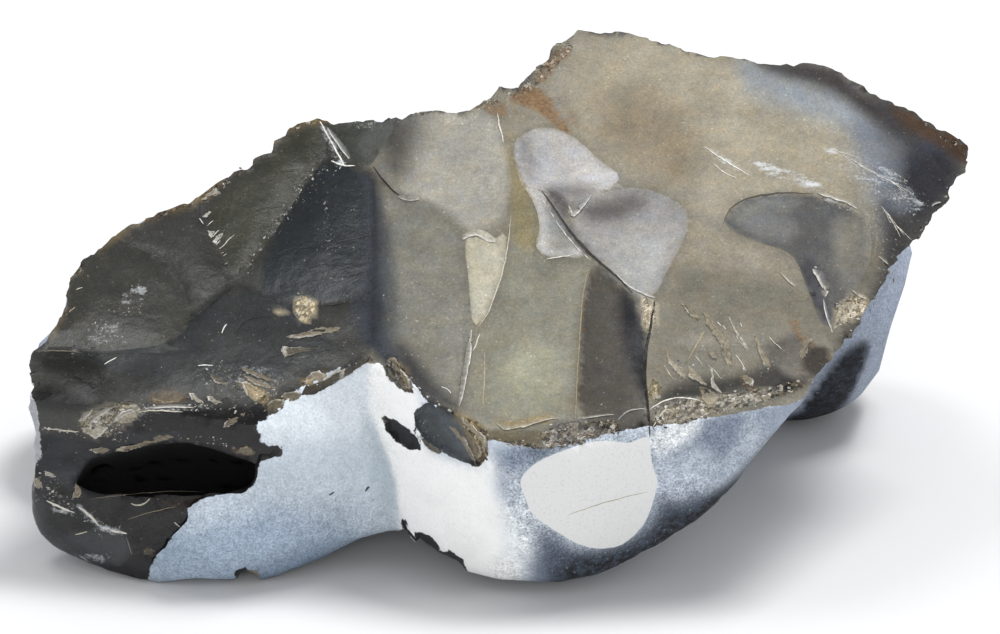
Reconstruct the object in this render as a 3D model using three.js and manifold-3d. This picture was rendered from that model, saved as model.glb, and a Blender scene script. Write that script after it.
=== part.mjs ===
// Rough flint nodule, broken open: one solid stone, about 150 mm long, resting on small flat spots of its rind.
// +X is the stone's right, +Y goes away from the broken face, +Z is up. All sizes are in millimetres.
import * as THREE from "three";
import { mergeVertices } from "three/addons/utils/BufferGeometryUtils.js";
import Module from "manifold-3d";

const wasm = await Module();
wasm.setup();

// ---------- the drafting sheet ----------
// The broken face is laid out on a tilted sheet, looked at square on from above the stone's front.
// A sheet point is (u, v, d): right, up, and depth behind the sheet, on lines of sight that meet at the eye.
const SHEET_TILT = THREE.MathUtils.degToRad(25);
const SHEET_AIM = new THREE.Vector3(0, -11, 35);
const EYE_DISTANCE = 900;
const SHEET_RIGHT = new THREE.Vector3(1, 0, 0);
const SHEET_UP = new THREE.Vector3(0, Math.sin(SHEET_TILT), Math.cos(SHEET_TILT));
const SHEET_DEPTH = new THREE.Vector3(0, Math.cos(SHEET_TILT), -Math.sin(SHEET_TILT));

function fromSheet(u, v, d) {
  const spread = (EYE_DISTANCE + d) / EYE_DISTANCE;
  return SHEET_AIM.clone()
    .addScaledVector(SHEET_RIGHT, u * spread)
    .addScaledVector(SHEET_UP, v * spread)
    .addScaledVector(SHEET_DEPTH, d);
}

function toSheet(p) {
  const r = p.clone().sub(SHEET_AIM);
  const d = r.dot(SHEET_DEPTH);
  const shrink = EYE_DISTANCE / (EYE_DISTANCE + d);
  return { u: r.dot(SHEET_RIGHT) * shrink, v: r.dot(SHEET_UP) * shrink, d };
}

// ---------- the nodule before it was broken: lobes, and the outline of its front ----------
const FRONT_LOBES = [
  { centre: [-46, -10, 14], radii: [36, 28.5, 33] },
  { centre: [-59, -16, 28], radii: [21, 18, 18] },
  { centre: [6, -12, 18], radii: [32, 31, 34] },
  { centre: [25, -8, 24], radii: [31, 30, 30] },
  { centre: [31, 4, 46], radii: [55, 43, 42] },
  { centre: [-22, 4, 38], radii: [56, 33, 36] },
  { centre: [-17, -13, 6], radii: [16, 18, 13] },
];
const REAR_LOBES = [
  { centre: [48, 28, 23], radii: [20.5, 17.5, 24] },
  { centre: [8, 20, 25], radii: [44, 24, 26] },
  { centre: [-43, 12, 21.3], radii: [28, 22, 22] },
  { centre: [-57.5, 8, 14.5], radii: [19, 18, 14] },
  { centre: [30, 16, 42], radii: [36, 22, 20] },
  { centre: [-32, 5, 34], radii: [28, 18, 15] },
];
const FRONT_BLEND = 5;
const REAR_BLEND = 7;
const MASS_BLEND = 5;
const LUMP_HEIGHT = 0.9;

// Outline of the front mass on the sheet, clockwise from the left end: [u, v].
const FRONT_OUTLINE = [
  [-75.4, -7.5], [-75.2, -5.6], [-71.3, -1.7], [-69.2, 2.7], [-68.9, 6.8], [-66.7, 10],
  [-61.9, 12.5], [-59.5, 14.4], [-52.4, 17.1], [-47.6, 19.2], [-45.2, 21.6], [-40.5, 25.1],
  [-35.7, 28.9], [-31, 31.3], [-23.8, 32.4], [-19, 32.9], [-15.9, 32.4], [-11.9, 33.3],
  [-7.1, 32.4], [-4.8, 33], [0, 36.7], [2.4, 37.1], [4.8, 40.2], [9.5, 44.1],
  [11.9, 45.6], [19, 45.7], [23.8, 45.1], [31.7, 41.9], [42.9, 40.5], [52.4, 40],
  [57.1, 37], [64.3, 33.7], [67.6, 31.3], [74.4, 27.8], [75.2, 25.6], [72.2, 19.8],
  [66.8, 12.2], [61.9, 5.1], [55.6, -3.7], [51.1, -8.7], [42.9, -19.5], [38.9, -24.6],
  [31.7, -33.2], [26.2, -37.1], [22.2, -38.9], [15.9, -41.3], [9.5, -42.2], [0, -42.2],
  [-6.3, -41.4], [-13.5, -38.9], [-15.9, -37.3], [-20.6, -37.9], [-31.7, -41], [-37.8, -42.2],
  [-45.2, -41.4], [-54.8, -41.4], [-61.9, -39.5], [-71.3, -37.9], [-75.6, -33.8], [-75.4, -30.3],
  [-74.1, -26.5], [-73, -23.7], [-73.3, -19.5], [-74.1, -14.8],
];
// The same outline without its chips, which the stone has behind its edge.
const DEEP_OUTLINE = [
  [-74.6, -7.1], [-68.3, 7.5], [-55.6, 16], [-42.9, 23], [-30.2, 31.6], [-15.9, 32.5],
  [-2.4, 34.8], [11.9, 44.9], [31.7, 41.6], [54, 38.9], [74.4, 27.1], [64.3, 8.7],
  [51.1, -8.7], [38.9, -24.6], [26.2, -37.1], [9.5, -42.2], [-6.3, -41.4], [-15.9, -37.9],
  [-31.7, -41], [-47.6, -41.3], [-69.8, -37.9], [-74.6, -32.2], [-73.3, -21.1],
];
const CHIPS_END = 9; // depth behind the edge where the chips have faded out
const DRAFT = 0.62; // how fast the outline draws in with depth
const EDGE_ROUND = 2.2;

// ---------- the breaks: depths on the sheet ----------
// The main break leans back about 35 degrees, folds gently left of the middle and flattens at the upper right.
function mainBreakDepth(u, v) {
  const flattening = 0.3 * softPositive(v - 12, 8) * (1 / (1 + Math.exp(-(u - 2) / 6)));
  const rightHalf = -13 + 0.577 * v + flattening;
  const leftHalf = -13 + 0.52 * v - 0.14 * (u + 19);
  return Math.max(rightHalf, leftHalf) + 0.3 * softPositive(u - 52, 8);
}
const MAIN_BREAK_FIELD = { uFrom: -90, uTo: 90, vFrom: -60, vTo: 66, pitch: 4.5 };

// The front left break: a nearly upright face under the main break's left half.
const leftBreakDepth = (u, v) => -32.9 - 0.226 * u - 0.3 * v;
const LEFT_BREAK = {
  hollow: 0.6,
  outline: [
    [-80, -10], [-70, -10], [-60, -11], [-50, -11], [-41, -12], [-36.8, -15.4], [-35.6, -18.7],
    [-37.8, -21.1], [-38.7, -25.1], [-41.3, -27.5], [-47.6, -29], [-50, -32.2], [-53, -37],
    [-55.9, -44], [-80, -44],
  ],
};
const LEFT_BREAK_RISE = 60;

// The rind's front below the breaks, near the outline.
function wallDepth(u, v) {
  const middleLobe = Math.exp(-(((u - 5) / 22) ** 2));
  return -22.5 - 0.38 * v + 0.2 * softPositive(-38 - u, 4) - 4.5 * middleLobe;
}

// Scars of flakes struck from the main break: the dish's depth and its outline on the sheet.
const SCARS = {
  leftUpper: {
    hollow: 1.6,
    outline: [
      [-46.3, 19], [-42.1, 24.4], [-35.7, 29.2], [-28.9, 31.6], [-27, 26.5], [-25.7, 23],
      [-28.9, 19.4], [-31.7, 16.2], [-34.1, 12.2], [-37.8, 8.7], [-41.3, 8.7], [-44.1, 13],
    ],
  },
  leftTip: {
    hollow: 1.5,
    outline: [
      [-69.8, 4], [-65.1, 10.6], [-59.5, 12.9], [-54.8, 11.4], [-50.8, 8.3], [-48.4, 5.1],
      [-53.2, 1.1], [-58.7, -2.1], [-64.3, -4.4], [-69.8, -4.4], [-73.7, -5.2], [-71.4, -0.8],
    ],
  },
  leftHeart: {
    hollow: 1.6,
    outline: [
      [-48.4, 4.3], [-41.3, 6.7], [-37.8, 5.1], [-31.7, 12.2], [-24.6, 18.6], [-21, 21], [-20.3, 13.8],
      [-20.3, 2.7], [-22.2, -4.4], [-27, -8.1], [-34.1, -11.3], [-39.7, -10], [-47.6, -5.2], [-50.8, -0.5],
    ],
  },
  topNotch: {
    hollow: 2.6,
    outline: [
      [-29.8, 32.2], [-24.6, 34], [-16.2, 34], [-17.1, 29.7], [-19, 26.5], [-20.6, 24.1],
      [-24.6, 24.9], [-27, 28.1],
    ],
  },
  upperMiddle: {
    hollow: 1.5,
    outline: [
      [-15.9, 34], [-11.9, 35], [-4.8, 34.6], [-0.3, 32.5], [0.8, 27.3], [1.9, 21.7], [0.8, 16.2],
      [-4.8, 14.6], [-7.1, 13], [-9.5, 16.2], [-12.7, 18.6], [-16.7, 21], [-19.4, 24.9], [-17.8, 28.1],
    ],
  },
  middleLeft: {
    hollow: 2,
    outline: [
      [-19.4, 23], [-15.9, 20.2], [-11.9, 18.3], [-7.9, 15.4], [-4.8, 12.2], [0.8, 14.6], [2.4, 13],
      [0.8, 7.5], [-3.2, 2.7], [-4.4, -5.2], [-6, -14.4], [-11.1, -12.9], [-15.1, -8.4], [-18.1, -5.6],
      [-19.7, 2.7], [-20.3, 13.8],
    ],
  },
  middleRight: {
    hollow: 1.3,
    outline: [
      [0.8, 14.6], [4.8, 21], [9.5, 12.2], [14.3, 8.7], [16.7, 7.5], [13.5, 3.5], [11.9, -17.1],
      [3.2, -20.3], [-2.4, -20.3], [-4.8, -14.8], [-4, -3.7], [-2.4, 2.7], [1.6, 9.1],
    ],
  },
  brownFacet: {
    hollow: 2.4,
    outline: [
      [16.7, 7.8], [22.2, 2.7], [24.6, -4.4], [23.8, -18.7], [17.5, -18.3], [11.4, -17.1],
      [12.4, -5.2], [14.3, 4.3],
    ],
  },
  greyUpper: {
    hollow: 2.4,
    outline: [
      [2.4, 29.7], [7.9, 31], [12.7, 28.9], [15.9, 24.9], [19, 22.5], [15.9, 18.6], [11.9, 16.2],
      [9.5, 12.2], [6.3, 14.6], [4.4, 20.2], [2.4, 24.9],
    ],
  },
  greyLower: {
    hollow: 2.8,
    outline: [
      [15.9, 20.2], [22.2, 21], [27, 18.9], [30.2, 16.2], [28.9, 12.2], [26.2, 8.3], [23.8, 3],
      [19.8, 4.3], [15.9, 8.3], [13.5, 13], [14.3, 17],
    ],
  },
  rightOval: {
    hollow: 2.2,
    outline: [
      [35.7, 15.1], [37.3, 17.8], [41.3, 19.7], [47.6, 20.2], [54, 19.4], [57.1, 17], [57.5, 13],
      [55.6, 8.7], [53.2, 6.7], [50, 8.7], [46.8, 10.6], [42.1, 11.9], [38.1, 12.2],
    ],
  },
  lowRight: {
    hollow: 1.6,
    outline: [
      [23.8, -4.4], [26.2, 2.7], [31.7, -2.1], [41.3, -8.4], [46.8, -11.6], [38.1, -15.6],
      [31.7, -16], [24.6, -18.9],
    ],
  },
  rustNotch: {
    hollow: 2.2,
    outline: [
      [-1.6, 35.7], [4.8, 40.8], [9.5, 44.8], [11.9, 40.8], [9.5, 36], [11.9, 32.1], [9.5, 29.7],
      [4.8, 30.5], [0.8, 31.6],
    ],
  },
};
const SCAR_RINGS = 2;
const SCAR_RISE = 6;

// The cave: a dark hollow in the front left break, reached through a long low mouth.
const CAVE = { centre: [-53, -24.3, -11.5], radii: [14.3, 4.7, 12.5] };
const CAVE_DETAIL = 5;

// Old flake scars on the hidden sides: large balls that bite a shallow dish out of the rind.
const HIDDEN_SCARS = [
  { towards: [-46, 45, 14], radius: 50, bite: 2.6 },
  { towards: [30, 60, -8], radius: 42, bite: 1.9 },
  { towards: [-80, 8, -16], radius: 44, bite: 2 },
];
const SCAR_BALL_DETAIL = 14;
const GROUND_REACH = 120;
const GROUND_DEPTH = 60;

// ---------- distances ----------
const clamp01 = (x) => Math.min(1, Math.max(0, x));
const softMin = (a, b, width) => {
  const overlap = Math.max(width - Math.abs(a - b), 0) / width;
  return Math.min(a, b) - overlap * overlap * width * 0.25;
};
const softMax = (a, b, width) => -softMin(-a, -b, width);
function softPositive(x, width) {
  return 0.5 * (x + Math.sqrt(x * x + width * width));
}

function ellipsoidDistance(p, [cx, cy, cz], [rx, ry, rz]) {
  const x = p.x - cx;
  const y = p.y - cy;
  const z = p.z - cz;
  const size = Math.hypot(x / rx, y / ry, z / rz);
  const slope = Math.hypot(x / (rx * rx), y / (ry * ry), z / (rz * rz));
  return (size * (size - 1)) / Math.max(slope, 1e-9);
}

// Distance to a closed outline of [u, v] points, negative inside.
function outlineDistance(u, v, outline) {
  let nearest = Infinity;
  let inside = false;
  outline.forEach(([bx, by], i) => {
    const [ax, ay] = outline.at(i - 1);
    const ex = bx - ax;
    const ey = by - ay;
    const share = clamp01(((u - ax) * ex + (v - ay) * ey) / (ex * ex + ey * ey));
    nearest = Math.min(nearest, Math.hypot(u - ax - share * ex, v - ay - share * ey));
    if (ay > v !== by > v && u < ax + ((v - ay) / (by - ay)) * ex) inside = !inside;
  });
  return inside ? -nearest : nearest;
}

// Smooth lumps between -1 and 1, the mean of a few crossed waves: [x, y and z per mm, phase].
const LUMP_WAVES = [
  [0.21, 0.13, 0.17, 0.4],
  [-0.12, 0.24, 0.1, 1.9],
  [0.09, -0.16, 0.26, 3.1],
  [0.3, 0.07, -0.19, 5.2],
  [-0.26, -0.21, 0.15, 2.6],
];
function lumps(p) {
  const waves = LUMP_WAVES.map(([kx, ky, kz, phase]) => Math.sin(kx * p.x + ky * p.y + kz * p.z + phase));
  return waves.reduce((sum, wave) => sum + wave, 0) / waves.length;
}

function lobesDistance(p, lobes, blend) {
  return lobes.reduce(
    (nearest, { centre, radii }) => softMin(nearest, ellipsoidDistance(p, centre, radii), blend),
    1e3,
  );
}

// Distance to the whole nodule's skin. The front mass is its lobes inside its drafted outline.
function noduleDistance(p) {
  const { u, v, d } = toSheet(p);
  const behindEdge = d - Math.max(mainBreakDepth(u, v), wallDepth(u, v));
  const deep = clamp01(behindEdge / CHIPS_END);
  const outline =
    outlineDistance(u, v, FRONT_OUTLINE) * (1 - deep) + outlineDistance(u, v, DEEP_OUTLINE) * deep;
  const drafted = (outline + DRAFT * behindEdge) / Math.hypot(1, DRAFT);
  const front = softMax(lobesDistance(p, FRONT_LOBES, FRONT_BLEND), drafted, EDGE_ROUND);
  const rear = lobesDistance(p, REAR_LOBES, REAR_BLEND);
  return softMin(front, rear, MASS_BLEND) + LUMP_HEIGHT * lumps(p) * clamp01(deep + 0.25);
}

// ---------- closed meshes ----------
function toSolid(positions, triangles) {
  const build = (triVerts) =>
    new wasm.Manifold(
      new wasm.Mesh({
        numProp: 3,
        vertProperties: new Float32Array(positions),
        triVerts: new Uint32Array(triVerts),
      }),
    );
  const made = build(triangles);
  if (made.volume() > 0) return made;
  return build(triangles.toReversed());
}

function weldedSolid(geometry) {
  const welded = mergeVertices(geometry.deleteAttribute("normal").deleteAttribute("uv"), 1e-4);
  return toSolid(welded.getAttribute("position").array, [...welded.index.array]);
}

// The nodule's skin, found on a grid of cells: one corner in each cell that the skin crosses, one square across
// each grid edge that it crosses, and every corner then pulled onto the skin.
const CELL = 4.2;
const GRID_FROM = new THREE.Vector3(-84, -50, -14);
const GRID_CELLS = [41, 25, 27];
const GRID_STEPS = [[1, 0, 0], [0, 1, 0], [0, 0, 1]];
const PULLS = 4;
const SLOPE_STEP = 0.3;
const LEAST_SLOPE = 0.25;

function pulledToSkin(p) {
  for (let pull = 0; pull < PULLS; pull += 1) {
    const here = noduleDistance(p);
    const rises = GRID_STEPS.map(
      ([sx, sy, sz]) =>
        noduleDistance(new THREE.Vector3(sx, sy, sz).multiplyScalar(SLOPE_STEP).add(p)) - here,
    );
    const slope = new THREE.Vector3(...rises).divideScalar(SLOPE_STEP);
    const wanted = here / Math.max(slope.lengthSq(), LEAST_SLOPE);
    p.addScaledVector(slope, -THREE.MathUtils.clamp(wanted, -CELL / 4, CELL / 4));
  }
  return p;
}

function noduleSolid() {
  const [nx, ny, nz] = GRID_CELLS;
  const pointAt = (i, j, k) => new THREE.Vector3(i, j, k).multiplyScalar(CELL).add(GRID_FROM);
  const index = (i, j, k) => (k * (ny + 1) + j) * (nx + 1) + i;
  const values = [];
  for (let k = 0; k <= nz; k += 1) {
    for (let j = 0; j <= ny; j += 1) {
      for (let i = 0; i <= nx; i += 1) values.push(noduleDistance(pointAt(i, j, k)));
    }
  }
  const positions = [];
  const cornerOf = new Map();
  function cellCorner(i, j, k) {
    const key = index(i, j, k);
    if (cornerOf.has(key)) return cornerOf.get(key);
    const mean = new THREE.Vector3();
    let crossings = 0;
    for (let corner = 0; corner < 8; corner += 1) {
      const [x, y, z] = [i + (corner & 1), j + ((corner >> 1) & 1), k + ((corner >> 2) & 1)];
      GRID_STEPS.forEach(([sx, sy, sz], axis) => {
        const a = values[index(x, y, z)];
        const b = values[index(x + sx, y + sy, z + sz)];
        if ((corner >> axis) & 1 || a < 0 === b < 0) return;
        const share = a / (a - b);
        mean.add(pointAt(x + sx * share, y + sy * share, z + sz * share));
        crossings += 1;
      });
    }
    const p = pulledToSkin(mean.divideScalar(crossings));
    positions.push(p.x, p.y, p.z);
    cornerOf.set(key, cornerOf.size);
    return cornerOf.size - 1;
  }
  const triangles = [];
  for (let k = 1; k < nz; k += 1) {
    for (let j = 1; j < ny; j += 1) {
      for (let i = 1; i < nx; i += 1) {
        GRID_STEPS.forEach(([sx, sy, sz], axis) => {
          const inside = values[index(i, j, k)] < 0;
          if (inside === values[index(i + sx, j + sy, k + sz)] < 0) return;
          const [ax, ay, az] = GRID_STEPS[(axis + 1) % 3];
          const [bx, by, bz] = GRID_STEPS[(axis + 2) % 3];
          const first = cellCorner(i - ax - bx, j - ay - by, k - az - bz);
          const second = cellCorner(i - bx, j - by, k - bz);
          const third = cellCorner(i, j, k);
          const fourth = cellCorner(i - ax, j - ay, k - az);
          if (inside) triangles.push(first, second, third, first, third, fourth);
          else triangles.push(first, third, second, first, fourth, third);
        });
      }
    }
  }
  return toSolid(positions, triangles);
}

// ---------- cutters ----------
const NEAR_DEPTH = -80;

// Everything in front of a depth map, over a rectangle of the sheet.
function depthCutter({ uFrom, uTo, vFrom, vTo, pitch }, depthAt) {
  const columns = Math.round((uTo - uFrom) / pitch);
  const rows = Math.round((vTo - vFrom) / pitch);
  const positions = [];
  const triangles = [];
  const put = (u, v, d) => positions.push(...fromSheet(u, v, d).toArray());
  const uAt = (i) => uFrom + i * pitch;
  const vAt = (j) => vFrom + j * pitch;
  for (let j = 0; j <= rows; j += 1) {
    for (let i = 0; i <= columns; i += 1) put(uAt(i), vAt(j), depthAt(uAt(i), vAt(j)));
  }
  const at = (i, j) => j * (columns + 1) + i;
  for (let j = 0; j < rows; j += 1) {
    for (let i = 0; i < columns; i += 1) {
      triangles.push(at(i, j), at(i + 1, j + 1), at(i + 1, j));
      triangles.push(at(i, j), at(i, j + 1), at(i + 1, j + 1));
    }
  }
  const rim = [];
  for (let i = 0; i < columns; i += 1) rim.push([i, 0]);
  for (let j = 0; j < rows; j += 1) rim.push([columns, j]);
  for (let i = columns; i > 0; i -= 1) rim.push([i, rows]);
  for (let j = rows; j > 0; j -= 1) rim.push([0, j]);
  const nearRim = (rows + 1) * (columns + 1);
  const nearMiddle = nearRim + rim.length;
  rim.forEach(([i, j]) => put(uAt(i), vAt(j), NEAR_DEPTH));
  put((uFrom + uTo) / 2, (vFrom + vTo) / 2, NEAR_DEPTH);
  rim.forEach(([i, j], n) => {
    const next = (n + 1) % rim.length;
    triangles.push(at(i, j), at(...rim[next]), nearRim + next, at(i, j), nearRim + next, nearRim + n);
    triangles.push(nearRim + n, nearRim + next, nearMiddle);
  });
  return toSolid(positions, triangles);
}

// Everything in front of a dish over a closed outline, up to `rise` in front of the dish's rim.
function dishCutter({ outline, hollow }, depthAt, rise) {
  const positions = [];
  const triangles = [];
  const count = outline.length;
  const put = (u, v, d) => positions.push(...fromSheet(u, v, d).toArray());
  const middle = (axis) => outline.reduce((sum, point) => sum + point[axis], 0) / count;
  const [cu, cv] = [middle(0), middle(1)];
  outline.forEach(([u, v]) => put(u, v, depthAt(u, v) - rise));
  for (let ring = 0; ring < SCAR_RINGS; ring += 1) {
    const share = 1 - ring / SCAR_RINGS;
    outline.forEach(([edgeU, edgeV]) => {
      const u = cu + (edgeU - cu) * share;
      const v = cv + (edgeV - cv) * share;
      put(u, v, depthAt(u, v) + hollow * (1 - share * share));
    });
  }
  put(cu, cv, depthAt(cu, cv) + hollow);
  put(cu, cv, depthAt(cu, cv) - rise);
  const bottom = (SCAR_RINGS + 1) * count;
  for (let n = 0; n < count; n += 1) {
    const next = (n + 1) % count;
    for (let ring = 0; ring < SCAR_RINGS; ring += 1) {
      const outer = ring * count;
      const inner = outer + count;
      triangles.push(outer + n, outer + next, inner + next, outer + n, inner + next, inner + n);
    }
    triangles.push(SCAR_RINGS * count + n, SCAR_RINGS * count + next, bottom);
    triangles.push(next, n, bottom + 1);
  }
  return toSolid(positions, triangles);
}

// A ball stretched along the sheet's own directions.
function sheetBall({ centre: [u, v, d], radii: [ru, rv, rd] }, detail) {
  const ball = new THREE.IcosahedronGeometry(1, detail);
  const corners = ball.getAttribute("position");
  for (let i = 0; i < corners.count; i += 1) {
    const p = fromSheet(u + ru * corners.getX(i), v + rv * corners.getY(i), d + rd * corners.getZ(i));
    corners.setXYZ(i, p.x, p.y, p.z);
  }
  return weldedSolid(ball);
}

// A ball that bites `bite` deep into the skin, where a ray from the stone's middle meets it.
const STONE_MIDDLE = new THREE.Vector3(0, 4, 26);
const SKIN_SEARCH = { from: 110, step: 0.5 };
function bitingBall({ towards, radius, bite }) {
  const facing = new THREE.Vector3(...towards).normalize();
  const onRay = (reach) => STONE_MIDDLE.clone().addScaledVector(facing, reach);
  let reach = SKIN_SEARCH.from;
  while (noduleDistance(onRay(reach)) > 0) reach -= SKIN_SEARCH.step;
  const centre = onRay(reach + radius - bite);
  return weldedSolid(
    new THREE.IcosahedronGeometry(radius, SCAR_BALL_DETAIL).translate(centre.x, centre.y, centre.z),
  );
}

function groundBlock() {
  const side = 2 * GROUND_REACH;
  return weldedSolid(new THREE.BoxGeometry(side, side, GROUND_DEPTH).translate(0, 0, -GROUND_DEPTH / 2));
}

// ---------- the stone ----------
function flintStone() {
  const cutters = [
    depthCutter(MAIN_BREAK_FIELD, mainBreakDepth),
    dishCutter(LEFT_BREAK, leftBreakDepth, LEFT_BREAK_RISE),
    ...Object.values(SCARS).map((scar) => dishCutter(scar, mainBreakDepth, SCAR_RISE)),
    sheetBall(CAVE, CAVE_DETAIL),
    ...HIDDEN_SCARS.map(bitingBall),
    groundBlock(),
  ];
  const { vertProperties, triVerts } = cutters
    .reduce((stone, cutter) => stone.subtract(cutter), noduleSolid())
    .getMesh();
  const geometry = new THREE.BufferGeometry();
  geometry.setAttribute("position", new THREE.BufferAttribute(vertProperties, 3));
  geometry.setIndex(new THREE.BufferAttribute(triVerts, 1));
  const flint = new THREE.MeshStandardMaterial({ color: 0x6e6b62, roughness: 0.45, metalness: 0 });
  const mesh = new THREE.Mesh(geometry, flint);
  mesh.name = "flint_stone";
  return mesh;
}

const group = new THREE.Group();
group.add(flintStone());
export default group;
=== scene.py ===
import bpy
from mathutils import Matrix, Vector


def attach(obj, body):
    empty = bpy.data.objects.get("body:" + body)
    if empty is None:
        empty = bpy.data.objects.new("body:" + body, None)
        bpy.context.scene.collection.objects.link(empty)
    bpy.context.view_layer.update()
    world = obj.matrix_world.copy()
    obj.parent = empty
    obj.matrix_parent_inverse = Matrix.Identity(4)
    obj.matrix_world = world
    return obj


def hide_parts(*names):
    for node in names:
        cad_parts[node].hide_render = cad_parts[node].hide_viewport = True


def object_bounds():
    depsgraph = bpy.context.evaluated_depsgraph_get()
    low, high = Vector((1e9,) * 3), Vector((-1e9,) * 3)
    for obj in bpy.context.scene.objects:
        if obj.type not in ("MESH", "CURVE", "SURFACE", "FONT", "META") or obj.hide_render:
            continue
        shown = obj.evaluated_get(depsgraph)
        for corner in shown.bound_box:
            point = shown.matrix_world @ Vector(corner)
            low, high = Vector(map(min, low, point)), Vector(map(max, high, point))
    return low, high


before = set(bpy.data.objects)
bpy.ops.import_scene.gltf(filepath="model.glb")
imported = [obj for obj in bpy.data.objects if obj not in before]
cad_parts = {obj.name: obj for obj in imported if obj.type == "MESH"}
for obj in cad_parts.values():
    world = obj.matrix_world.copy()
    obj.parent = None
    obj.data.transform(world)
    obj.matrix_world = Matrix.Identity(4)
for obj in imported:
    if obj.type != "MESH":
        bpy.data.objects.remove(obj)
cad_box = [list(corner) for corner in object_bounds()]

import math

import bpy
import numpy as np
from mathutils import Vector

MM = 0.001

# ---------- the drafting sheet: a tilted sheet that the broken face is laid out on ----------
SHEET_TILT = math.radians(25)
SHEET_AIM = np.array([0.0, -11.0, 35.0])
EYE_DISTANCE = 900.0
SHEET_RIGHT = np.array([1.0, 0.0, 0.0])
SHEET_UP = np.array([0.0, math.sin(SHEET_TILT), math.cos(SHEET_TILT)])
SHEET_DEPTH = np.array([0.0, math.cos(SHEET_TILT), -math.sin(SHEET_TILT)])

# Marks on the sheet are steps, counted right and down from its top left corner. An outline or a line is a
# run of marks: across,down, across,down and so on.
STEPS_PER_MM = 6.3
SHEET_STEPS = (1000, 634)
SHEET_MIDDLE = (500, 317)
CORNER_CUT = 0.25  # how far along each side a corner is cut, as a share of it


def on_sheet(marks):
    """A run of marks as points, in mm right of the sheet's middle and above it."""
    steps = np.reshape(marks, (-1, 2)).astype(float)
    right = (steps[:, 0] - SHEET_MIDDLE[0]) / STEPS_PER_MM
    up = (SHEET_MIDDLE[1] - steps[:, 1]) / STEPS_PER_MM
    return np.stack([right, up], -1)


def softened(line, closed=False):
    """The line with its corners cut twice."""
    for _ in range(2):
        after = np.roll(line, -1, 0)
        near = line * (1 - CORNER_CUT) + after * CORNER_CUT
        far = line * CORNER_CUT + after * (1 - CORNER_CUT)
        cut = np.stack([near, far], 1)
        if closed:
            line = cut.reshape(-1, 2)
        else:
            line = np.concatenate([line[:1], cut[:-1].reshape(-1, 2), line[-1:]])
    return line


def to_sheet(p):
    """Points in space as mm right and up on the sheet, and their depth behind it."""
    r = p - SHEET_AIM
    d = r @ SHEET_DEPTH
    shrink = EYE_DISTANCE / (EYE_DISTANCE + d)
    return (r @ SHEET_RIGHT) * shrink, (r @ SHEET_UP) * shrink, d


def from_sheet(u, v, d):
    spread = (EYE_DISTANCE + d) / EYE_DISTANCE
    across = np.multiply.outer(u * spread, SHEET_RIGHT)
    upward = np.multiply.outer(v * spread, SHEET_UP)
    return SHEET_AIM + across + upward + np.multiply.outer(d, SHEET_DEPTH)


EYE = SHEET_AIM - EYE_DISTANCE * SHEET_DEPTH

# ---------- camera ----------
SENSOR_WIDTH = 36.0
camera_data = bpy.data.cameras.new("sight")
camera_data.sensor_width = SENSOR_WIDTH
camera_data.lens = SENSOR_WIDTH * EYE_DISTANCE * STEPS_PER_MM / SHEET_STEPS[0]
camera_data.clip_start = 0.05
camera_data.clip_end = 20
camera = bpy.data.objects.new("sight", camera_data)
camera.location = EYE * MM
camera.rotation_euler = (math.pi / 2 - SHEET_TILT, 0, 0)
bpy.context.scene.collection.objects.link(camera)
bpy.context.scene.camera = camera

# ---------- the nodule before it was broken, as the solid has it ----------
FRONT_LOBES = [
    ((-46, -10, 14), (36, 28.5, 33)),
    ((-59, -16, 28), (21, 18, 18)),
    ((6, -12, 18), (32, 31, 34)),
    ((25, -8, 24), (31, 30, 30)),
    ((31, 4, 46), (55, 43, 42)),
    ((-22, 4, 38), (56, 33, 36)),
    ((-17, -13, 6), (16, 18, 13)),
]
REAR_LOBES = [
    ((48, 28, 23), (20.5, 17.5, 24)),
    ((8, 20, 25), (44, 24, 26)),
    ((-43, 12, 21.3), (28, 22, 22)),
    ((-57.5, 8, 14.5), (19, 18, 14)),
    ((30, 16, 42), (36, 22, 20)),
    ((-32, 5, 34), (28, 18, 15)),
]
FRONT_BLEND = 5
REAR_BLEND = 7
MASS_BLEND = 5
LUMP_HEIGHT = 0.9
LUMP_WAVES = [
    (0.21, 0.13, 0.17, 0.4),
    (-0.12, 0.24, 0.1, 1.9),
    (0.09, -0.16, 0.26, 3.1),
    (0.3, 0.07, -0.19, 5.2),
    (-0.26, -0.21, 0.15, 2.6),
]
CHIPS_END = 9
DRAFT = 0.62
EDGE_ROUND = 2.2

# The front mass's outline, clockwise from the left end.
FRONT_OUTLINE = on_sheet((25,364, 26,352, 38,340, 51,328, 59,316, 64,300, 63,285, 66,274, 80,254, 95,248,
    110,238, 125,226, 140,218, 170,209, 200,196, 215,181, 230,169, 245,159, 260,148, 275,135, 290,127,
    305,120, 320,118, 350,113, 380,110, 400,113, 425,107, 440,110, 455,113, 470,109, 485,98, 500,86, 515,83,
    530,64, 545,53, 560,39, 575,30, 620,29, 650,33, 680,44, 700,53, 740,56, 770,62, 815,63, 830,65, 845,72,
    860,84, 876,95, 905,105, 926,120, 950,132, 969,142, 974,156, 970,168, 955,192, 937,216, 921,240, 905,262,
    890,285, 872,312, 850,340, 822,372, 800,403, 770,440, 745,472, 725,498, 700,526, 665,551, 640,562,
    600,577, 560,583, 500,583, 460,578, 440,572, 415,562, 402,552, 395,548, 370,556, 330,568, 300,575,
    262,583, 240,575, 215,578, 195,573, 175,578, 155,578, 140,572, 110,566, 75,560, 51,556, 32,545, 24,530,
    25,508, 33,484, 40,466, 38,440, 33,410, 30,388))
# The same outline without its chips, which the stone has behind its edge.
DEEP_OUTLINE = on_sheet((30,362, 70,270, 150,216, 230,172, 310,118, 400,112, 485,98, 575,34, 700,55, 840,72,
    969,146, 905,262, 822,372, 745,472, 665,551, 560,583, 460,578, 400,556, 300,575, 200,577, 60,556, 30,520,
    38,450))

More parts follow.
